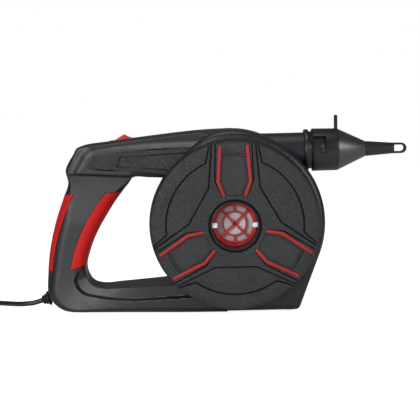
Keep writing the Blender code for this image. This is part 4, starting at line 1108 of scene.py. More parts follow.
    def _flank(self, station: Station, place: float, along: float, out: float) -> float:
        """Limit a section point's depth by the bar's panel, the neck and the base's scoop.

        Args:
            station: The section.
            place: Its index along the handle.
            along: Distance from the silhouette.
            out: Depth of the plain rounded section.

        Returns:
            The depth with the moulded relief.
        """
        x, _, z = self._across(station, along, 0.0, 1)
        limit = station.depth
        if place < self.relief_ends[0]:
            underside = 128.6 - 0.058 * (x + 153.0)     # of the bar's panel, falling toward the drum
            under = underside - z
            step = eased(signed_distance((x, z), self.panel) / 8.0)
            raised = self.panel_drop * step * (1 - eased(under / 2.0))
            neck = self.neck_drop * eased(under / 2.2) * (1 - eased((under - 4.0) / 46.0))
            limit -= max(raised, neck)
        if place > self.relief_ends[1]:
            inward = self._width(station) - along
            begun = eased((place - self.relief_ends[1]) / 1.5)
            reach = self.scoop[0] * begun
            if inward < reach:
                limit -= self.scoop[1] * eased((reach - inward) / 2.6) * begun
        return min(out, limit)

    def _section(self, place: float, side: int) -> list[Place]:
        """List the closed half section at a station, with its moulded relief."""
        station = self.station(place)
        width = self._width(station)
        outer, inner, depth = station.outer_round, station.inner_round, station.depth
        flat = [(0.0, FINE), (0.0, (depth - outer) / 2)]
        flat += arc((outer, depth - outer), outer, 180, 90, 9)
        count = 34
        flat += [(outer + (width - inner - outer) * step / count, depth) for step in range(1, count)]
        flat += arc((width - inner, depth - inner), inner, 90, 0, 9)
        flat += [(width, (depth - inner) / 2), (width, FINE)]
        return [self._across(station, along, self._flank(station, place, along, out), side)
                for along, out in flat]

    def _plain_section(self, place: float, side: int, inset: float) -> list[Place]:
        """List a coarse closed half section, inset all round, past the middle plane."""
        station = self.station(place)
        width = self._width(station)
        outer, inner, depth = station.outer_round, station.inner_round + 4.0, station.depth - inset
        flat = [(inset, -1.0)] + arc((outer, depth - outer), outer - inset, 180, 90, 3)
        flat += arc((width - inner, depth - inner), inner - inset, 90, 0, 3) + [(width - inset, -1.0)]
        return [self._across(station, along, max(out, -0.9 if 0 < row < len(flat) - 1 else -1.0), side)
                for row, (along, out) in enumerate(flat)]

    # -------------------------------------------------------------- drum
    def _radius(self, angle: float) -> float:
        """Read the drum's radius at an angle in degrees: fullest over the top, tight behind the cover."""
        return self.drum_radius - 2.3 * eased((88.0 - angle) / 34.0) - 7.9 * eased((angle - 98.0) / 34.0)

    def _drum_outline(self, inset: float, rounded: float = 0.0, steps: int = 132) -> list[Point]:
        """Outline the drum: round, with a straight toe and a flat base.

        Args:
            inset: How far it is drawn in all round.
            rounded: Share of the side edge's rounding that is drawn in too.
            steps: Chords round the drum.

        Returns:
            The corners, counter-clockwise.
        """
        outline = []
        for step in range(steps + 1):
            angle = self.toe_angle + (262.0 - self.toe_angle) * step / steps
            radius = self._radius(angle)
            edge = min(self.drum_edge, max(1.0, radius - 75.4))
            outline.append(arc(FAN_FLAT, radius - inset - edge * rounded, angle, angle, 1)[0])
        floor = self.base + inset + self.drum_edge * rounded
        start = Vector(outline[0])
        toe = math.radians(self.toe_angle)
        tangent = Vector((math.sin(toe), -math.cos(toe)))
        corner = start + tangent * ((floor - start.y) / tangent.y)
        outline.append((outline[-1][0], floor))
        for back, up in ((3.0, 0.0), (1.9, 0.15), (0.9, 0.8), (0.2, 1.9)):
            outline.append((corner.x - back + up * 0.35, floor + up))
        outline.append(tuple(corner - tangent * 3.4))
        return outline

    def _drum(self, side: int) -> Thing:
        """Skin the solid drum with its rounded side edge."""
        levels = [(0.0, 0.0, FINE), (0.35, 0.0, 15.0)]
        for step in range(9):
            turn = math.radians(90 * step / 8)
            levels.append((0.7, 1 - math.cos(turn), self.drum_depth - self.drum_edge * (1 - math.sin(turn))))
        loops = [[(x, side * out, z) for x, z in self._drum_outline(inset, rounded)]
                 for inset, rounded, out in levels]
        return Bench.skin("drum", loops)

    def _half_round(self, radius: float, middle: float, side: int, x: float, steps: int) -> list[Place]:
        """List a half disc across the outlet axis."""
        start = math.degrees(math.asin(middle / radius))
        half = arc((0.0, 0.0), radius, start, 180 - start, steps)
        return [(x, side * out, OUTLET_HEIGHT + up) for up, out in half]

    def _half(self, side: int, name: str) -> Thing:
        """Model one half: the fused outside, its hollow, pockets and grooves."""
        last = len(self.stations) - 1
        shell = Bench.skin(name, [self._section(last * row / self.rows, side)
                                  for row in range(self.rows + 1)])
        Bench.fuse(shell, self._drum(side))
        radius, bore, end = self.tube
        tube = [self._half_round(radius, FINE, side, x, 40) for x in (0.0, end)]
        Bench.fuse(shell, Bench.skin("tube", tube))
        chamber = [[(x, side * out, z) for x, z in self._drum_outline(self.wall, 0.0, 66)]
                   for out in (-1.0, self.drum_depth - self.wall)]
        Bench.cut(shell, Bench.skin("chamber", chamber))
        Bench.cut(shell, Bench.skin("bore", [self._half_round(bore, -1.0, side, x, 30)
                                             for x in (-2.0, end + 1)]))
        Bench.cut(shell, Bench.rod("window", (0, 0, FAN_HEIGHT), (0, side * 40, FAN_HEIGHT), self.window,
                                   128))
        hollow = [self._plain_section(0.1 + 15.6 * row / 64, side, 5.0) for row in range(65)]
        Bench.cut(shell, Bench.skin("hollow", hollow))
        self._pockets(shell, side)
        self._grooves(shell, side)
        return shell

    def _pockets(self, shell: Thing, side: int) -> None:
        """Cut the switch well, screw bores, cord way, foot pockets and pad pockets."""
        Bench.cut(shell, Bench.block("slot", (-112.4, -8.3, 130.0), (-87.8, 8.3, 170.0)))
        way_out = Vector((-math.cos(CORD_SLOPE), 0.0, -math.sin(CORD_SLOPE)))
        for start, finish, radius in ((-14.0, 8.0, 4.5), (-14.0, -4.3, 6.5)):
            ends = [tuple(Vector(CORD_EXIT) + way_out * at) for at in (start, finish)]
            Bench.cut(shell, Bench.rod("cord_way", ends[0], ends[1], radius))
        Bench.cut(shell, Bench.rod("nozzle_room", (self.tube[2] + 0.12, 0, OUTLET_HEIGHT),
                                   (90, 0, OUTLET_HEIGHT), 20.0, 64))
        for x, half_width in ((-136.0, 14.0), (49.0, 22.0)):
            Bench.cut(shell, Bench.block("foot_pocket", (x - 4.3, -half_width - 0.3, -1.0),
                                         (x + 4.3, half_width + 0.3, 2.2)))
        if side > 0:
            for x, z in SCREW_PLACES:
                Bench.cut(shell, Bench.rod("screw_bore", (x, 9.7, z), (x, 40.0, z), 3.6))
        for rear in (True, False):
            Bench.cut(shell, self.pad_band("pocket", rear, self.pad_depth + 0.3, -2.5, 0.3, 0.02))

    def pad_band(self, name: str, rear: bool, inside: float, outside: float, grown: float, ends: float,
                 crown: float = 0.0) -> Thing:
        """Skin a pad over the rear or finger edge of the grip, or the pocket that it lies in.

        Args:
            name: Name of the object.
            rear: True for the rear pad, False for the finger pad.
            inside: Depth of its lining under the grip's surface.
            outside: Depth of its skin, negative when it stands proud.
            grown: Added to its reach round each side.
            ends: Added past both ends, in stations.
            crown: Extra height along its middle.

        Returns:
            The closed band.
        """
        start, finish = self.pad_spans[0 if rear else 1]
        count = 52
        loops = []
        for row in range(count + 1):
            share = row / count
            place = start - ends + (finish - start + 2 * ends) * share
            edge = min(share, 1 - share)
            loops.append(self._pad_section(place, rear, inside, outside - crown * eased(edge * 9), grown,
                                           share))
        band = Bench.skin(name, loops)
        top = self.pad_tops[0 if rear else 1] + grown
        Bench.cut(band, Bench.block("level", (-200.0, -40.0, top), (-60.0, 40.0, 180.0)))
        return band

    def _pad_section(self, place: float, rear: bool, inside: float, outside: float, grown: float,
                     share: float) -> list[Place]:
        """List one closed C section of a pad."""
        station = self.station(place)
        width, depth = self._width(station), station.depth
        radius = station.outer_round if rear else station.inner_round
        if rear:
            reach = self.pad_reach[0] - 2.4 * share + grown
        else:
            radius = 14.0
            reach = self.pad_reach[1] - 4.2 * (1 - share) ** 2 + grown
        last = math.degrees(math.acos(max(-1.0, min(1.0, (radius - reach) / radius))))

        def wrapped(inset: float) -> list[Point]:
            """List (along, out) from the middle plane round to the pad's border."""
            points = [(inset, 0.0)]
            for along, out in arc((radius, depth - radius), radius - inset, 180, 180 - last, 12):
                points.append((along, out))
            return points

        def put(point: Point, side: int) -> Place:
            """Place a point of the rear or of the finger pad."""
            along, out = point
            return self._across(station, along if rear else width - along, out, side)

        skin, lining = wrapped(outside), wrapped(inside)
        loop = [put(point, -1) for point in reversed(skin)] + [put(point, 1) for point in skin[1:]]
        loop += [put(point, 1) for point in reversed(lining)] + [put(point, -1) for point in lining[1:]]
        return loop

    def _grooves(self, shell: Thing, side: int) -> None:
        """Cut the panel lines of the top bar's flank."""
        inner = [(-36.0, 145.2), (-67.7, 143.3), (-101.0, 141.4), (-104.6, 133.2), (-58.4, 129.6),
                 (-40.0, 128.2)]
        for path in (self.panel_line, inner):
            outline = band_outline(path, 0.8)
            wide = outline_offset(outline, 0.3)
            loops = [[(x, side * (self._bar_depth(x) + rise), z) for x, z in corners]
                     for rise, corners in ((-1.5, outline), (1.0, wide))]
            Bench.cut(shell, Bench.skin("panel_line", loops))

    def _bar_depth(self, x: float) -> float:
        """Find how deep the top bar's flank lies at an X."""
        last = 4.2
        for step in range(43):
            station = self.station(last * step / 42)
            middle = (station.outer[0] * 0.6 + station.inner[0] * 0.4)
            if middle < x:
                return station.depth
        return self.station(last).depth

    def _dress_panels(self, shell: Thing) -> None:
        """Give the framed part of the bar's flank its leather-like texture."""
        framed = [*self.panel_line[:-1], (-26.0, 122.0)]
        for polygon in shell.data.polygons:
            x, y, z = polygon.center
            flat = abs(polygon.normal.y) > 0.9 and abs(y) > 19.0 and x < -26.0
            polygon.material_index = 1 if flat and signed_distance((x, z), framed) < -0.4 else 0


@dataclass
class GripPads:
    """Soft red pads on the rear and on the finger side of the grip.

    Attributes:
        shell: The clam shell whose pockets they fill.
        rise: How far they stand above the grip.
    """

    shell: ClamShell
    rise: float = 0.15

    def build(self) -> None:
        """Make both pads, a little crowned along their length."""
        for rear, name, node in ((True, "pad_rear", "rear_grip_pad"),
                                 (False, "pad_finger", "front_grip_pad")):
            pad = self.shell.pad_band(name, rear, self.shell.pad_depth, -self.rise, 0.0, 0.0, 0.1)
            Bench.soften(pad, 0.5, 3, 50.0)
            Bench.finish(pad, PAD_RED, "pump", [node], "red_rubber", 40.0)


# ------------------------------------------------------------------ intake side
@dataclass
class IntakeCover:
    """Round cover over the fan chamber with its three-armed recess, red strips and latch.

    Attributes:
        face: Middle plane to the cover's face.
        recess: Depth of the three sunk sectors.
        arms: Angles of the raised arms, in degrees.
        flank: Corners of a sunk sector beside an arm that points up: from the rim inward, then the slot's
            outer side from the rim to the raised rim.
        raised_rim: Radius where the outer band begins.
        strip: Corners of a red strip beside an arm that points up.
        strip_width: Of a strip.
        arm_line: Corners of the groove outside each strip.
        pocket: (radius, half width) corners of the textured pocket in each arm.
        steps: Chords round the cover.
    """

    face: float = 50.0
    recess: float = 1.2
    arms: tuple[float, ...] = (90.0, 210.0, 330.0)
    flank: tuple[Point, ...] = ((18.6, 73.0), (21.9, 33.7), (21.8, 71.2), (25.2, 55.9))
    raised_rim: float = 61.2
    strip: tuple[Point, ...] = ((11.8, 70.8), (14.2, 39.3), (9.3, 26.2))
    strip_width: float = 3.0
    arm_line: tuple[Point, ...] = ((15.7, 76.0), (16.9, 40.2), (10.6, 25.6))
    pocket: tuple[Point, ...] = ((61.2, 9.4), (40.0, 11.0), (27.2, 6.4))
    steps: int = 168

    def build(self) -> None:
        """Model the cover, then lay its six strips."""
        self._cover()
        for number, outline in enumerate(self._bands(self.strip, self.strip_width), start=1):
            self._strip(number, outline)

    def _bands(self, path: Sequence[Point], width: float) -> list[list[Point]]:
        """Outline a band on both sides of each arm, counter-clockwise."""
        outlines = []
        for arm in self.arms:
            for side in (1, -1):
                way = turned_by([(side * x, z) for x, z in path], arm - 90.0)
                outlines.append(counter_clockwise(band_outline(way, width)))
        return outlines

    def _sectors(self) -> list[list[Point]]:
        """Outline the three sunk sectors between the arms."""
        rim, heel, slot_rim, slot_end = self.flank
        start = math.degrees(math.atan2(slot_end[1], slot_end[0]))
        bow = arc((0.0, 0.0), self.raised_rim, 60.0 - start, start, 14)
        outline = [rim, heel, mirrored(heel, 30.0), mirrored(rim, 30.0), mirrored(slot_rim, 30.0), *bow,
                   slot_rim]
        first = counter_clockwise(outline)
        return [turned_by(first, turn) for turn in (0.0, 120.0, 240.0)]

    def _pocket_outline(self, arm: float) -> list[Point]:
        """Outline the textured pocket of one arm, its outer side bowed."""
        (outer, half), (middle, wide), (inner, narrow) = self.pocket
        reach = math.degrees(math.asin(half / outer))
        top = arc((0.0, 0.0), outer, 90 - reach, 90 + reach, 6)
        outline = [*top, (-wide, middle), (-narrow, inner), (narrow, inner), (wide, middle)]
        return counter_clockwise(turned_by(outline, arm - 90.0))

    def _cover(self) -> None:
        """Turn the dished cover and cut its pattern."""
        profile = [(21.9, 47.5), (21.9, 48.3), (23.1, 48.4), (23.6, 49.9), (24.3, 50.0), (66.0, 50.0),
                   (70.2, 49.9), (72.3, 49.6), (73.5, 49.0), (74.2, 47.9), (74.5, 46.5), (76.0, 36.3),
                   (73.6, 36.3), (71.0, 46.2), (67.0, 47.5)]
        cover = Bench.turn("cover", profile, "-Y", self.steps, FAN_AXIS)
        top, floor, centre = -self.face - 1.0, -self.face + self.recess, FAN_FLAT
        for outline in self._sectors():
            Bench.cut(cover, Bench.drafted("sunk", outline, top, floor, 0.35, centre))
            Bench.cut(cover, Bench.rail("edge_line", outline, 0.15, 1.25, -self.face + 2.0, floor - 0.2,
                                        centre))
        for outline in self._bands(self.arm_line, 1.1):
            Bench.cut(cover, Bench.drafted("arm_line", outline, top, -self.face + 1.3, 0.1, centre))
        for outline in self._bands(self.strip, self.strip_width + 0.7):
            Bench.cut(cover, Bench.drafted("strip_bed", outline, top, -self.face + 1.45, 0.0, centre))
        for arm in self.arms:
            Bench.cut(cover, Bench.drafted("pocket", self._pocket_outline(arm), top, -self.face + 1.0, 0.9,
                                           centre))
            across = counter_clockwise(sector(self.raised_rim + 1.3, self.raised_rim + 2.9, arm - 9.2,
                                              arm + 9.2))
            Bench.cut(cover, Bench.drafted("cross_line", across, top, -self.face + 1.2, 0.1, centre))
        Bench.fuse(cover, Bench.block("latch", (-6.0, -48.0, FAN_HEIGHT + 66.0),
                                      (6.0, -33.5, FAN_HEIGHT + 68.5)))
        Bench.soften(cover, 0.28, 2, 38.0)
        self._mark_pockets(cover)
        Bench.finish(cover, COVER_BLACK, "pump", ["intake_cover"], "cover_abs", 30.0,
                     (PANEL_WAFFLE, GROOVE_PAINTED_SHADE))

    def _mark_pockets(self, cover: Thing) -> None:
        """Give the pockets' floors their crossed ribs and the grooves' floors a near-black finish that is
        painted shade.
        """
        outlines = [self._pocket_outline(arm) for arm in self.arms]
        for polygon in cover.data.polygons:
            x, y, z = polygon.center
            sunk = y + self.face
            on_floor = polygon.normal.y < -0.9 and abs(sunk - 1.0) < 0.12
            inside = on_floor and any(signed_distance((x, z - FAN_HEIGHT), one) < -0.1 for one in outlines)
            # Groove floors take the near-black finish: painted shade, not a colour of the cover.
            shaded_groove = 1.22 < sunk < 2.1 and math.hypot(x, z - FAN_HEIGHT) < 70.0
            polygon.material_index = 1 if inside else 2 if shaded_groove else 0

    def _strip(self, number: int, outline: Sequence[Point]) -> None:
        """Lay one soft red strip, its top edges rounded."""
        strip = Bench.prism(f"strip_{number}", outline, -self.face - 0.3, -self.face + 1.1, FAN_FLAT)
        Bench.soften(strip, 0.55, 3, 50.0)
        Bench.finish(strip, INLAY_RED, "pump", [f"accent_strip_{number}"], "red_rubber", 40.0)


@dataclass
class IntakePort:
    """Bayonet ring in the cover's middle, its two latches, and the red finger grille behind it.

    Attributes:
        bore: Inner radius of the ring.
        radius: Outer radius of the ring.
        front: Middle plane to its front.
        rings: Inner and outer radius of the grille's two rows of openings.
        spokes: Angles of the spokes in the outer row, in degrees.
    """

    bore: float = 20.3
    radius: float = 21.6
    front: float = 50.5
    rings: tuple[Point, Point] = ((2.2, 9.9), (11.6, 16.2))
    spokes: tuple[float, ...] = (-45.0, 45.0, 90.0, 135.0, 225.0, 270.0)

    def build(self) -> None:
        """Make the ring, its latches and the grille."""
        self._ring()
        for side in (-1, 1):
            latch = Bench.block(f"latch_{side + 2}", (min(side * 15.6, side * 20.2), -45.0, FAN_HEIGHT - 1.9),
                                (max(side * 15.6, side * 20.2), -38.5, FAN_HEIGHT + 2.3))
            Bench.soften(latch, 0.35, 3)
            Bench.finish(latch, FAN_GREY, "pump")
        self._grille()

    def _ring(self) -> None:
        """Turn the ring and notch it for the bayonet pins."""
        profile = [(self.bore, 27.6), (self.radius, 27.6), (self.radius, self.front - 0.5),
                   (self.radius - 0.25, self.front - 0.1), (self.radius - 0.5, self.front),
                   (self.bore + 0.5, self.front), (self.bore + 0.2, self.front - 0.2),
                   (self.bore, self.front - 0.6)]
        ring = Bench.turn("port_ring", profile, "-Y", 120, FAN_AXIS)
        for x in (-self.radius, self.radius):
            Bench.cut(ring, Bench.block("notch", (x - 3, -48.5, FAN_HEIGHT - 5.2),
                                        (x + 3, -38.0, FAN_HEIGHT + 1.9)))
        Bench.soften(ring, 0.15, 2, 50.0)
        Bench.finish(ring, SWITCH_BLACK, "pump", ["intake_port"], "black_abs")

    def _grille(self) -> None:
        """Turn the dished grille, open its two rows and raise its cross."""
        centre = FAN_FLAT
        profile = [(0.0, 29.0), (20.0, 29.0), (20.0, 35.2), (19.7, 35.5), (18.9, 35.5), (18.5, 35.2),
                   (17.2, 31.0), (16.8, 30.8), (0.0, 30.8)]
        grille = Bench.turn("grille", profile, "-Y", 96, FAN_AXIS)
        for start, end in zip(self.spokes, (*self.spokes[1:], self.spokes[0] + 360.0)):
            opening = sector(*self.rings[1], start + 4.0, end - 4.0)
            Bench.cut(grille, Bench.prism("outer_row", opening, -33.0, -28.0, centre))
        for quarter in range(4):
            start, end = 90.0 * quarter - 45.0, 90.0 * quarter + 45.0
            inner, outer = self.rings[0]
            opening = arc((0.0, 0.0), outer, start + 5.5, end - 5.5, 12)
            opening += arc((0.0, 0.0), inner, end - 20.0, start + 20.0, 4)
            Bench.cut(grille, Bench.prism("inner_row", opening, -33.0, -28.0, centre))
        for turn in (45.0, 135.0):
            rib = turned_by([(-16.4, -0.9), (16.4, -0.9), (16.4, 0.9), (-16.4, 0.9)], turn)
            Bench.fuse(grille, Bench.prism("rib", rib, -31.8, -30.0, centre))
        Bench.soften(grille, 0.22, 2, 40.0)
        Bench.finish(grille, GLOSS_RED, "pump", ["intake_grille"], "red_plastic")


@dataclass
class Impeller:
    """Light fan wheel that shows behind the grille.

    Attributes:
        radius: Of the wheel.
        blades: Number of blades.
        sweep: How far a blade leans back, in degrees.
    """

    radius: float = 54.0
    blades: int = 9
    sweep: float = 42.0

    def build(self) -> None:
        """Model the back plate and hub, then fuse the blades."""
        profile = [(1.9, 7.9), (1.9, 22.0), (6.0, 22.0), (6.0, 26.3), (2.4, 26.3), (2.4, 27.3), (6.0, 28.0),
                   (12.0, 28.0), (16.6, 27.6), (17.4, 27.0), (17.2, 26.2), (8.2, 20.6), (7.6, 13.0),
                   (9.6, 10.2), (12.0, 9.7),
                   (self.radius - 0.3, 9.7), (self.radius, 9.4), (self.radius, 7.9)]
        wheel = Bench.turn("wheel", profile, "-Y", 96, FAN_AXIS)
        for index in range(self.blades):
            path = []
            for step in range(9):
                share = step / 8
                radius = 24.0 + (self.radius - 24.8) * share
                turn = math.radians(360.0 * index / self.blades + self.sweep * share)
                path.append((radius * math.cos(turn), radius * math.sin(turn)))
            outline = counter_clockwise(band_outline(path, 1.6))
            Bench.fuse(wheel, Bench.prism("blade", outline, -27.0, -9.0, FAN_FLAT))
        Bench.finish(wheel, FAN_WHEEL, "rotor", ["impeller"], "fan_plastic")
        plate = Bench.turn("back_plate", [(9.0, 2.6), (9.0, 5.0), (72.8, 5.0), (72.8, 2.6)], "-Y", 96,
                           FAN_AXIS)
        Bench.finish(plate, INNER_GREY, "pump", ["fan_backplate"], "grey_plastic")


# ------------------------------------------------------------------ motor side
@dataclass
class MotorCover:
    """Vented cover of the motor side with its cage for the motor ring.

    Attributes:
        face: Middle plane to the cover's face.
        vents: Number of radial vents.
        reach: Inner and outer radius of a vent.
    """

    face: float = 46.0
    vents: int = 16
    reach: Point = (34.0, 54.0)

    def build(self) -> None:
        """Turn the cover, cut its vents and rings."""
        skin = self.face - 2.2
        profile = [(0.0, self.face - 0.8), (22.0, self.face - 0.8), (22.8, self.face - 0.1),
                   (24.0, self.face), (58.0, self.face), (60.4, self.face - 0.5), (62.2, self.face - 1.6),
                   (63.6, self.face - 3.2), (64.5, self.face - 4.8), (66.0, 36.3), (63.8, 36.3),
                   (60.5, skin), (31.0, skin), (31.0, 20.0), (28.6, 20.0), (28.6, skin), (0.0, skin)]
        cover = Bench.turn("motor_side_cover", profile, "Y", 144, FAN_AXIS)
        centre = FAN_FLAT
        for index in range(self.vents):
            middle = 360.0 * index / self.vents
            inner, outer = self.reach
            slot = arc((0.0, 0.0), outer, middle - 3.2, middle + 3.2, 6)
            slot += arc((0.0, 0.0), inner, middle + 3.4, middle - 3.4, 6)
            Bench.cut(cover, Bench.prism("vent", slot, skin - 1, self.face + 1, centre))
        for radius in (29.0, 57.0):
            groove = [(radius - 0.6, self.face - 0.7), (radius + 0.6, self.face - 0.7),
                      (radius + 0.8, self.face + 1), (radius - 0.8, self.face + 1)]
            Bench.cut(cover, Bench.turn("ring_line", groove, "Y", 144, FAN_AXIS))
        Bench.soften(cover, 0.3, 2, 40.0)
        Bench.finish(cover, COVER_BLACK, "pump", ["motor_cover"], "black_abs")


@dataclass
class ShellScrews:
    """Cross-recessed screws in the motor side's deep bores.

    Attributes:
        seat: Y of the middle of a head.
        head: Radius of a head.
        shank: Radius and length of a shank.
    """

    seat: float = 11.2
    head: float = 3.2
    shank: Point = (1.5, 25.2)

    def build(self) -> None:
        """Turn each screw and cut its cross."""
        for number, (x, z) in enumerate(SCREW_PLACES, start=1):
            radius, reach = self.shank
            profile = [(0.0, -reach), (radius * 0.5, -reach), (radius, 1.0 - reach), (radius, -1.2),
                       (self.head, -1.2), (self.head, 0.2), (self.head - 0.7, 0.9), (self.head - 1.8, 1.2),
                       (0.0, 1.2)]
            screw = Bench.turn(f"screw_{number}", profile, "Y", 32, (x, self.seat, z))
            for wide, tall in ((1.7, 0.42), (0.42, 1.7)):
                Bench.cut(screw, Bench.block("cross", (x - wide, self.seat - 0.2, z - tall),
                                             (x + wide, self.seat + 2.0, z + tall)))
            Bench.finish(screw, ZINC_PLATE, "pump", [f"housing_screw_{number}"], "steel")


# ------------------------------------------------------------------ switch
@dataclass
class RockerSwitch:
    """Red rocker in its black frame on the top bar.

    Attributes:
        pivot: (x, z) of the rocker's pin.
        outline: Rocker's side view about that pin.
        half_width: Middle plane to the rocker's side.
        frame_span: First and last X of the frame.
    """

    pivot: Point = (-100.2, 154.0)
    outline: tuple[Point, ...] = (
        (-9.8, 0.4), (-5.4, 3.4), (1.2, 7.3), (3.6, 6.1), (6.4, 4.7), (9.7, 3.8), (9.4, 0.8), (6.6, -5.8),
        (2.6, -8.0), (-2.6, -8.0), (-6.6, -5.8), (-9.4, -1.0))
    half_width: float = 6.4
    frame_span: Point = (-112.1, -88.1)

    def build(self) -> None:
        """Make the frame and the rocker."""
        self._frame()
        self._rocker()

    def _frame(self) -> None:
        """Model the open frame with its pivot holes."""
        near, far = self.frame_span
        outline = counter_clockwise([(near, 138.0), (far, 138.0), (far, 158.2), (near, 155.8)])
        body = Bench.prism("switch_frame", outline, -8.0, 8.0)
        Bench.cut(body, Bench.block("well", (near + 1.2, -6.7, 143.0), (far - 1.2, 6.7, 165.0)))
        x, z = self.pivot
        Bench.cut(body, Bench.rod("pivot_hole", (x, -9, z), (x, 9, z), 1.5))
        Bench.soften(body, 0.3, 2, 50.0)
        Bench.finish(body, SWITCH_BLACK, "pump", ["switch_body"], "switch_nylon")

    def _rocker(self) -> None:
        """Model the rocker, rounded, with a hollow for the finger and three ridges."""
        rocker = Bench.prism("rocker_key", counter_clockwise(list(self.outline)), -self.half_width,
                             self.half_width, self.pivot)
        x, z = self.pivot
        for step in range(3):
            across = x - 1.2 - 1.9 * step
            height = z + 6.05 - 1.12 * step
            Bench.cut(rocker, Bench.rod("ridge", (across, -4.6, height), (across, 4.6, height), 0.55, 12))
        Bench.soften(rocker, 0.55, 3, 24.0)
        Bench.fuse(rocker, Bench.rod("pin", (x, -self.half_width - 1.3, z), (x, self.half_width + 1.3, z),
                                     1.3))
        Bench.finish(rocker, GLOSS_RED, "rocker", ["switch_rocker"], "red_plastic", 40.0)


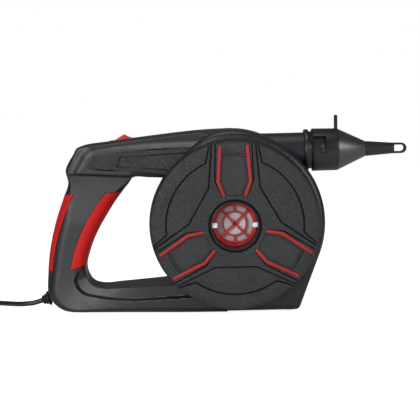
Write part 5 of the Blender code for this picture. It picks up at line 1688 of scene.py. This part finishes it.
# ------------------------------------------------------------------ outlet and nozzle
@dataclass
class Nozzle:
    """Outlet spigot with its bayonet pins, seal, twist-on adaptor and valve tip.

    Attributes:
        pin_x: Of the two bayonet pins.
        pin_radius: Of a pin.
        twist: How far the adaptor turns to come off, in degrees.
        adaptor_start: X of the adaptor's rear.
        tip_end: X of the tip's end.
        steps: Chords round each turned piece.
    """

    pin_x: float = 82.0
    pin_radius: float = 2.0
    twist: float = 35.0
    adaptor_start: float = 72.6
    tip_end: float = 159.0
    steps: int = 96

    def build(self) -> None:
        """Make the four pieces."""
        self._spigot()
        self._adaptor()
        self._tip()

    def _turned(self, name: str, profile: Sequence[Point]) -> Thing:
        """Turn a profile about the outlet axis."""
        return Bench.turn(name, profile, "X", self.steps, (0.0, 0.0, OUTLET_HEIGHT))

    def _spigot(self) -> None:
        """Turn the spigot with its collar, seal groove and pins."""
        profile = [(11.6, 58.8), (13.3, 58.8), (13.3, 65.2), (18.0, 65.2), (18.6, 65.4), (18.9, 66.0),
                   (18.9, 68.3), (18.6, 68.9), (18.0, 69.2), (17.0, 69.2), (17.0, 87.6), (15.6, 87.6),
                   (15.6, 90.4), (17.0, 90.4), (17.0, 92.6), (16.4, 93.4), (14.6, 93.4), (14.0, 70.0)]
        spigot = self._turned("spigot", profile)
        for side in (-1, 1):
            Bench.fuse(spigot, Bench.rod("pin", (self.pin_x, side * 15.4, OUTLET_HEIGHT),
                                         (self.pin_x, side * 19.8, OUTLET_HEIGHT), self.pin_radius))
        Bench.soften(spigot, 0.15, 2, 50.0)
        Bench.finish(spigot, NOZZLE_SATIN, "pump", ["outlet_spigot"], "nozzle_plastic")
        seal = self._turned("seal", [(15.9, 88.1), (16.2, 87.8), (16.8, 87.8), (17.1, 88.1), (17.1, 89.9),
                                     (16.8, 90.2), (16.2, 90.2), (15.9, 89.9)])
        Bench.finish(seal, FOOT_RUBBER, "pump", ["spigot_seal"], "black_rubber", 60.0)

    def _slot_cutter(self, x_low: float, x_high: float, start: float, end: float, flip: int) -> Thing:
        """Wrap a block round the outlet axis between two angles above one side."""
        loops = []
        for step in range(17):
            turn = math.radians(start + (end - start) * step / 16)
            out, up = -math.cos(turn) * flip, math.sin(turn) * flip
            loops.append([(x, radius * out, OUTLET_HEIGHT + radius * up)
                          for x, radius in ((x_low, 16.0), (x_high, 16.0), (x_high, 22.0), (x_low, 22.0))])
        return Bench.skin("slot", loops)

    def _adaptor(self) -> None:
        """Turn the adaptor's collar and cone, add its tab and cut its J slots."""
        start = self.adaptor_start
        profile = [(17.4, start), (19.1, start), (19.4, start + 0.4), (19.15, 94.6), (18.9, 95.8),
                   (6.95, 121.1), (6.6, 121.5), (5.3, 121.5), (5.3, 112.0), (17.4, 94.8)]
        adaptor = self._turned("adaptor", profile)
        tab = counter_clockwise([(93.5, 0.0), (95.8, 0.0), (95.8, 12.2), (95.2, 12.7), (94.1, 12.7),
                                 (93.5, 12.2)])
        Bench.fuse(adaptor, Bench.prism("tab", tab, -4.5, 4.5, (0.0, OUTLET_HEIGHT + 18.6)))
        slack = math.degrees((self.pin_radius + 0.3) / 18.4)
        near, far = self.pin_x - self.pin_radius - 0.3, self.pin_x + self.pin_radius + 0.3
        for flip in (1, -1):
            Bench.cut(adaptor, self._slot_cutter(start - 2, far, self.twist - slack, self.twist + slack,
                                                 flip))
            Bench.cut(adaptor, self._slot_cutter(near, far, -slack, self.twist + slack, flip))
        Bench.soften(adaptor, 0.3, 3, 40.0)
        # The cone's faces take the lighter, shinier copy of the nozzle plastic: a painted highlight.
        for polygon in adaptor.data.polygons:
            polygon.material_index = 1 if polygon.center.x > 95.9 else 0
        Bench.finish(adaptor, NOZZLE_SATIN, "nozzle", ["nozzle_adaptor"], "nozzle_plastic", 32.0,
                     (CONE_PAINTED_HIGHLIGHT,))

    def _tip(self) -> None:
        """Turn the tip, flatten its end into a loop and bore it through."""
        profile = [(0.0, 112.5), (5.0, 112.5), (5.0, 121.8), (6.5, 121.8), (6.85, 122.2), (4.9, 147.0),
                   (4.5, 147.4), (0.0, 147.4)]
        tip = self._turned("tip", profile)
        end = self.tip_end - 4.75
        centre = (0.0, OUTLET_HEIGHT)
        loop = [(143.0, -4.9), *arc((end, 0.0), 4.75, -90, 90, 24), (143.0, 4.9)]
        Bench.fuse(tip, Bench.prism("loop", loop, -2.0, 2.0, centre))
        window = [(147.9, -2.7), (148.2, -3.0), *arc((end - 0.6, 0.0), 3.0, -90, 90, 20), (148.2, 3.0),
                  (147.9, 2.7)]
        Bench.cut(tip, Bench.prism("eye", window, -4.0, 4.0, centre))
        Bench.cut(tip, Bench.rod("bore", (111.0, 0.0, OUTLET_HEIGHT), (148.4, 0.0, OUTLET_HEIGHT), 3.2))
        Bench.soften(tip, 0.3, 3, 45.0)
        Bench.finish(tip, NOZZLE_SATIN, "nozzle", ["nozzle_tip"], "nozzle_plastic")


# ------------------------------------------------------------------ carried-over pieces
@dataclass
class InnerWorks:
    """Feet, fan parts, motor and wiring that keep their CAD shapes and get finishes.

    Attributes:
        by_slot: Finish of each material slot of the record.
    """

    by_slot: dict[str, Finish] = field(default_factory=lambda: {
        "black_abs": BODY_BLACK, "cover_abs": COVER_BLACK, "nozzle_plastic": NOZZLE_SATIN,
        "red_rubber": PAD_RED, "red_plastic": GLOSS_RED, "black_rubber": FOOT_RUBBER, "cord_pvc": LEAD_PVC,
        "switch_nylon": SWITCH_BLACK, "fan_plastic": FAN_GREY, "grey_plastic": INNER_GREY,
        "steel": BRIGHT_STEEL, "zinc_steel": ZINC_PLATE, "bronze": SINTERED_BRONZE, "brass": PLAIN_BRASS,
        "copper": WOUND_COPPER, "ferrite": MAGNET_GREY, "carbon": BRUSH_CARBON, "board": CIRCUIT_GREEN})

    def build(self) -> None:
        """Dress every CAD node by its slot."""
        slots = {part["node"]: part["material_slot"] for part in frame["record"]["subparts"]}
        for name, node in sorted(frame["nodes"].items()):
            node.data.materials.clear()
            node.data.materials.append(self.by_slot[slots[name]].material())
        LOG.info("dressed %d CAD nodes", len(slots))


def main() -> None:
    """Build the studio and every sub-assembly, in order."""
    logging.basicConfig(level=logging.INFO, format="%(name)s: %(message)s")
    InnerWorks().build()
    Studio().build()
    MainsLead().build()
    shell = ClamShell()
    shell.build()
    GripPads(shell).build()
    IntakeCover().build()
    IntakePort().build()
    Impeller().build()
    MotorCover().build()
    ShellScrews().build()
    RockerSwitch().build()
    Nozzle().build()


if __name__ == "__main__":
    main()
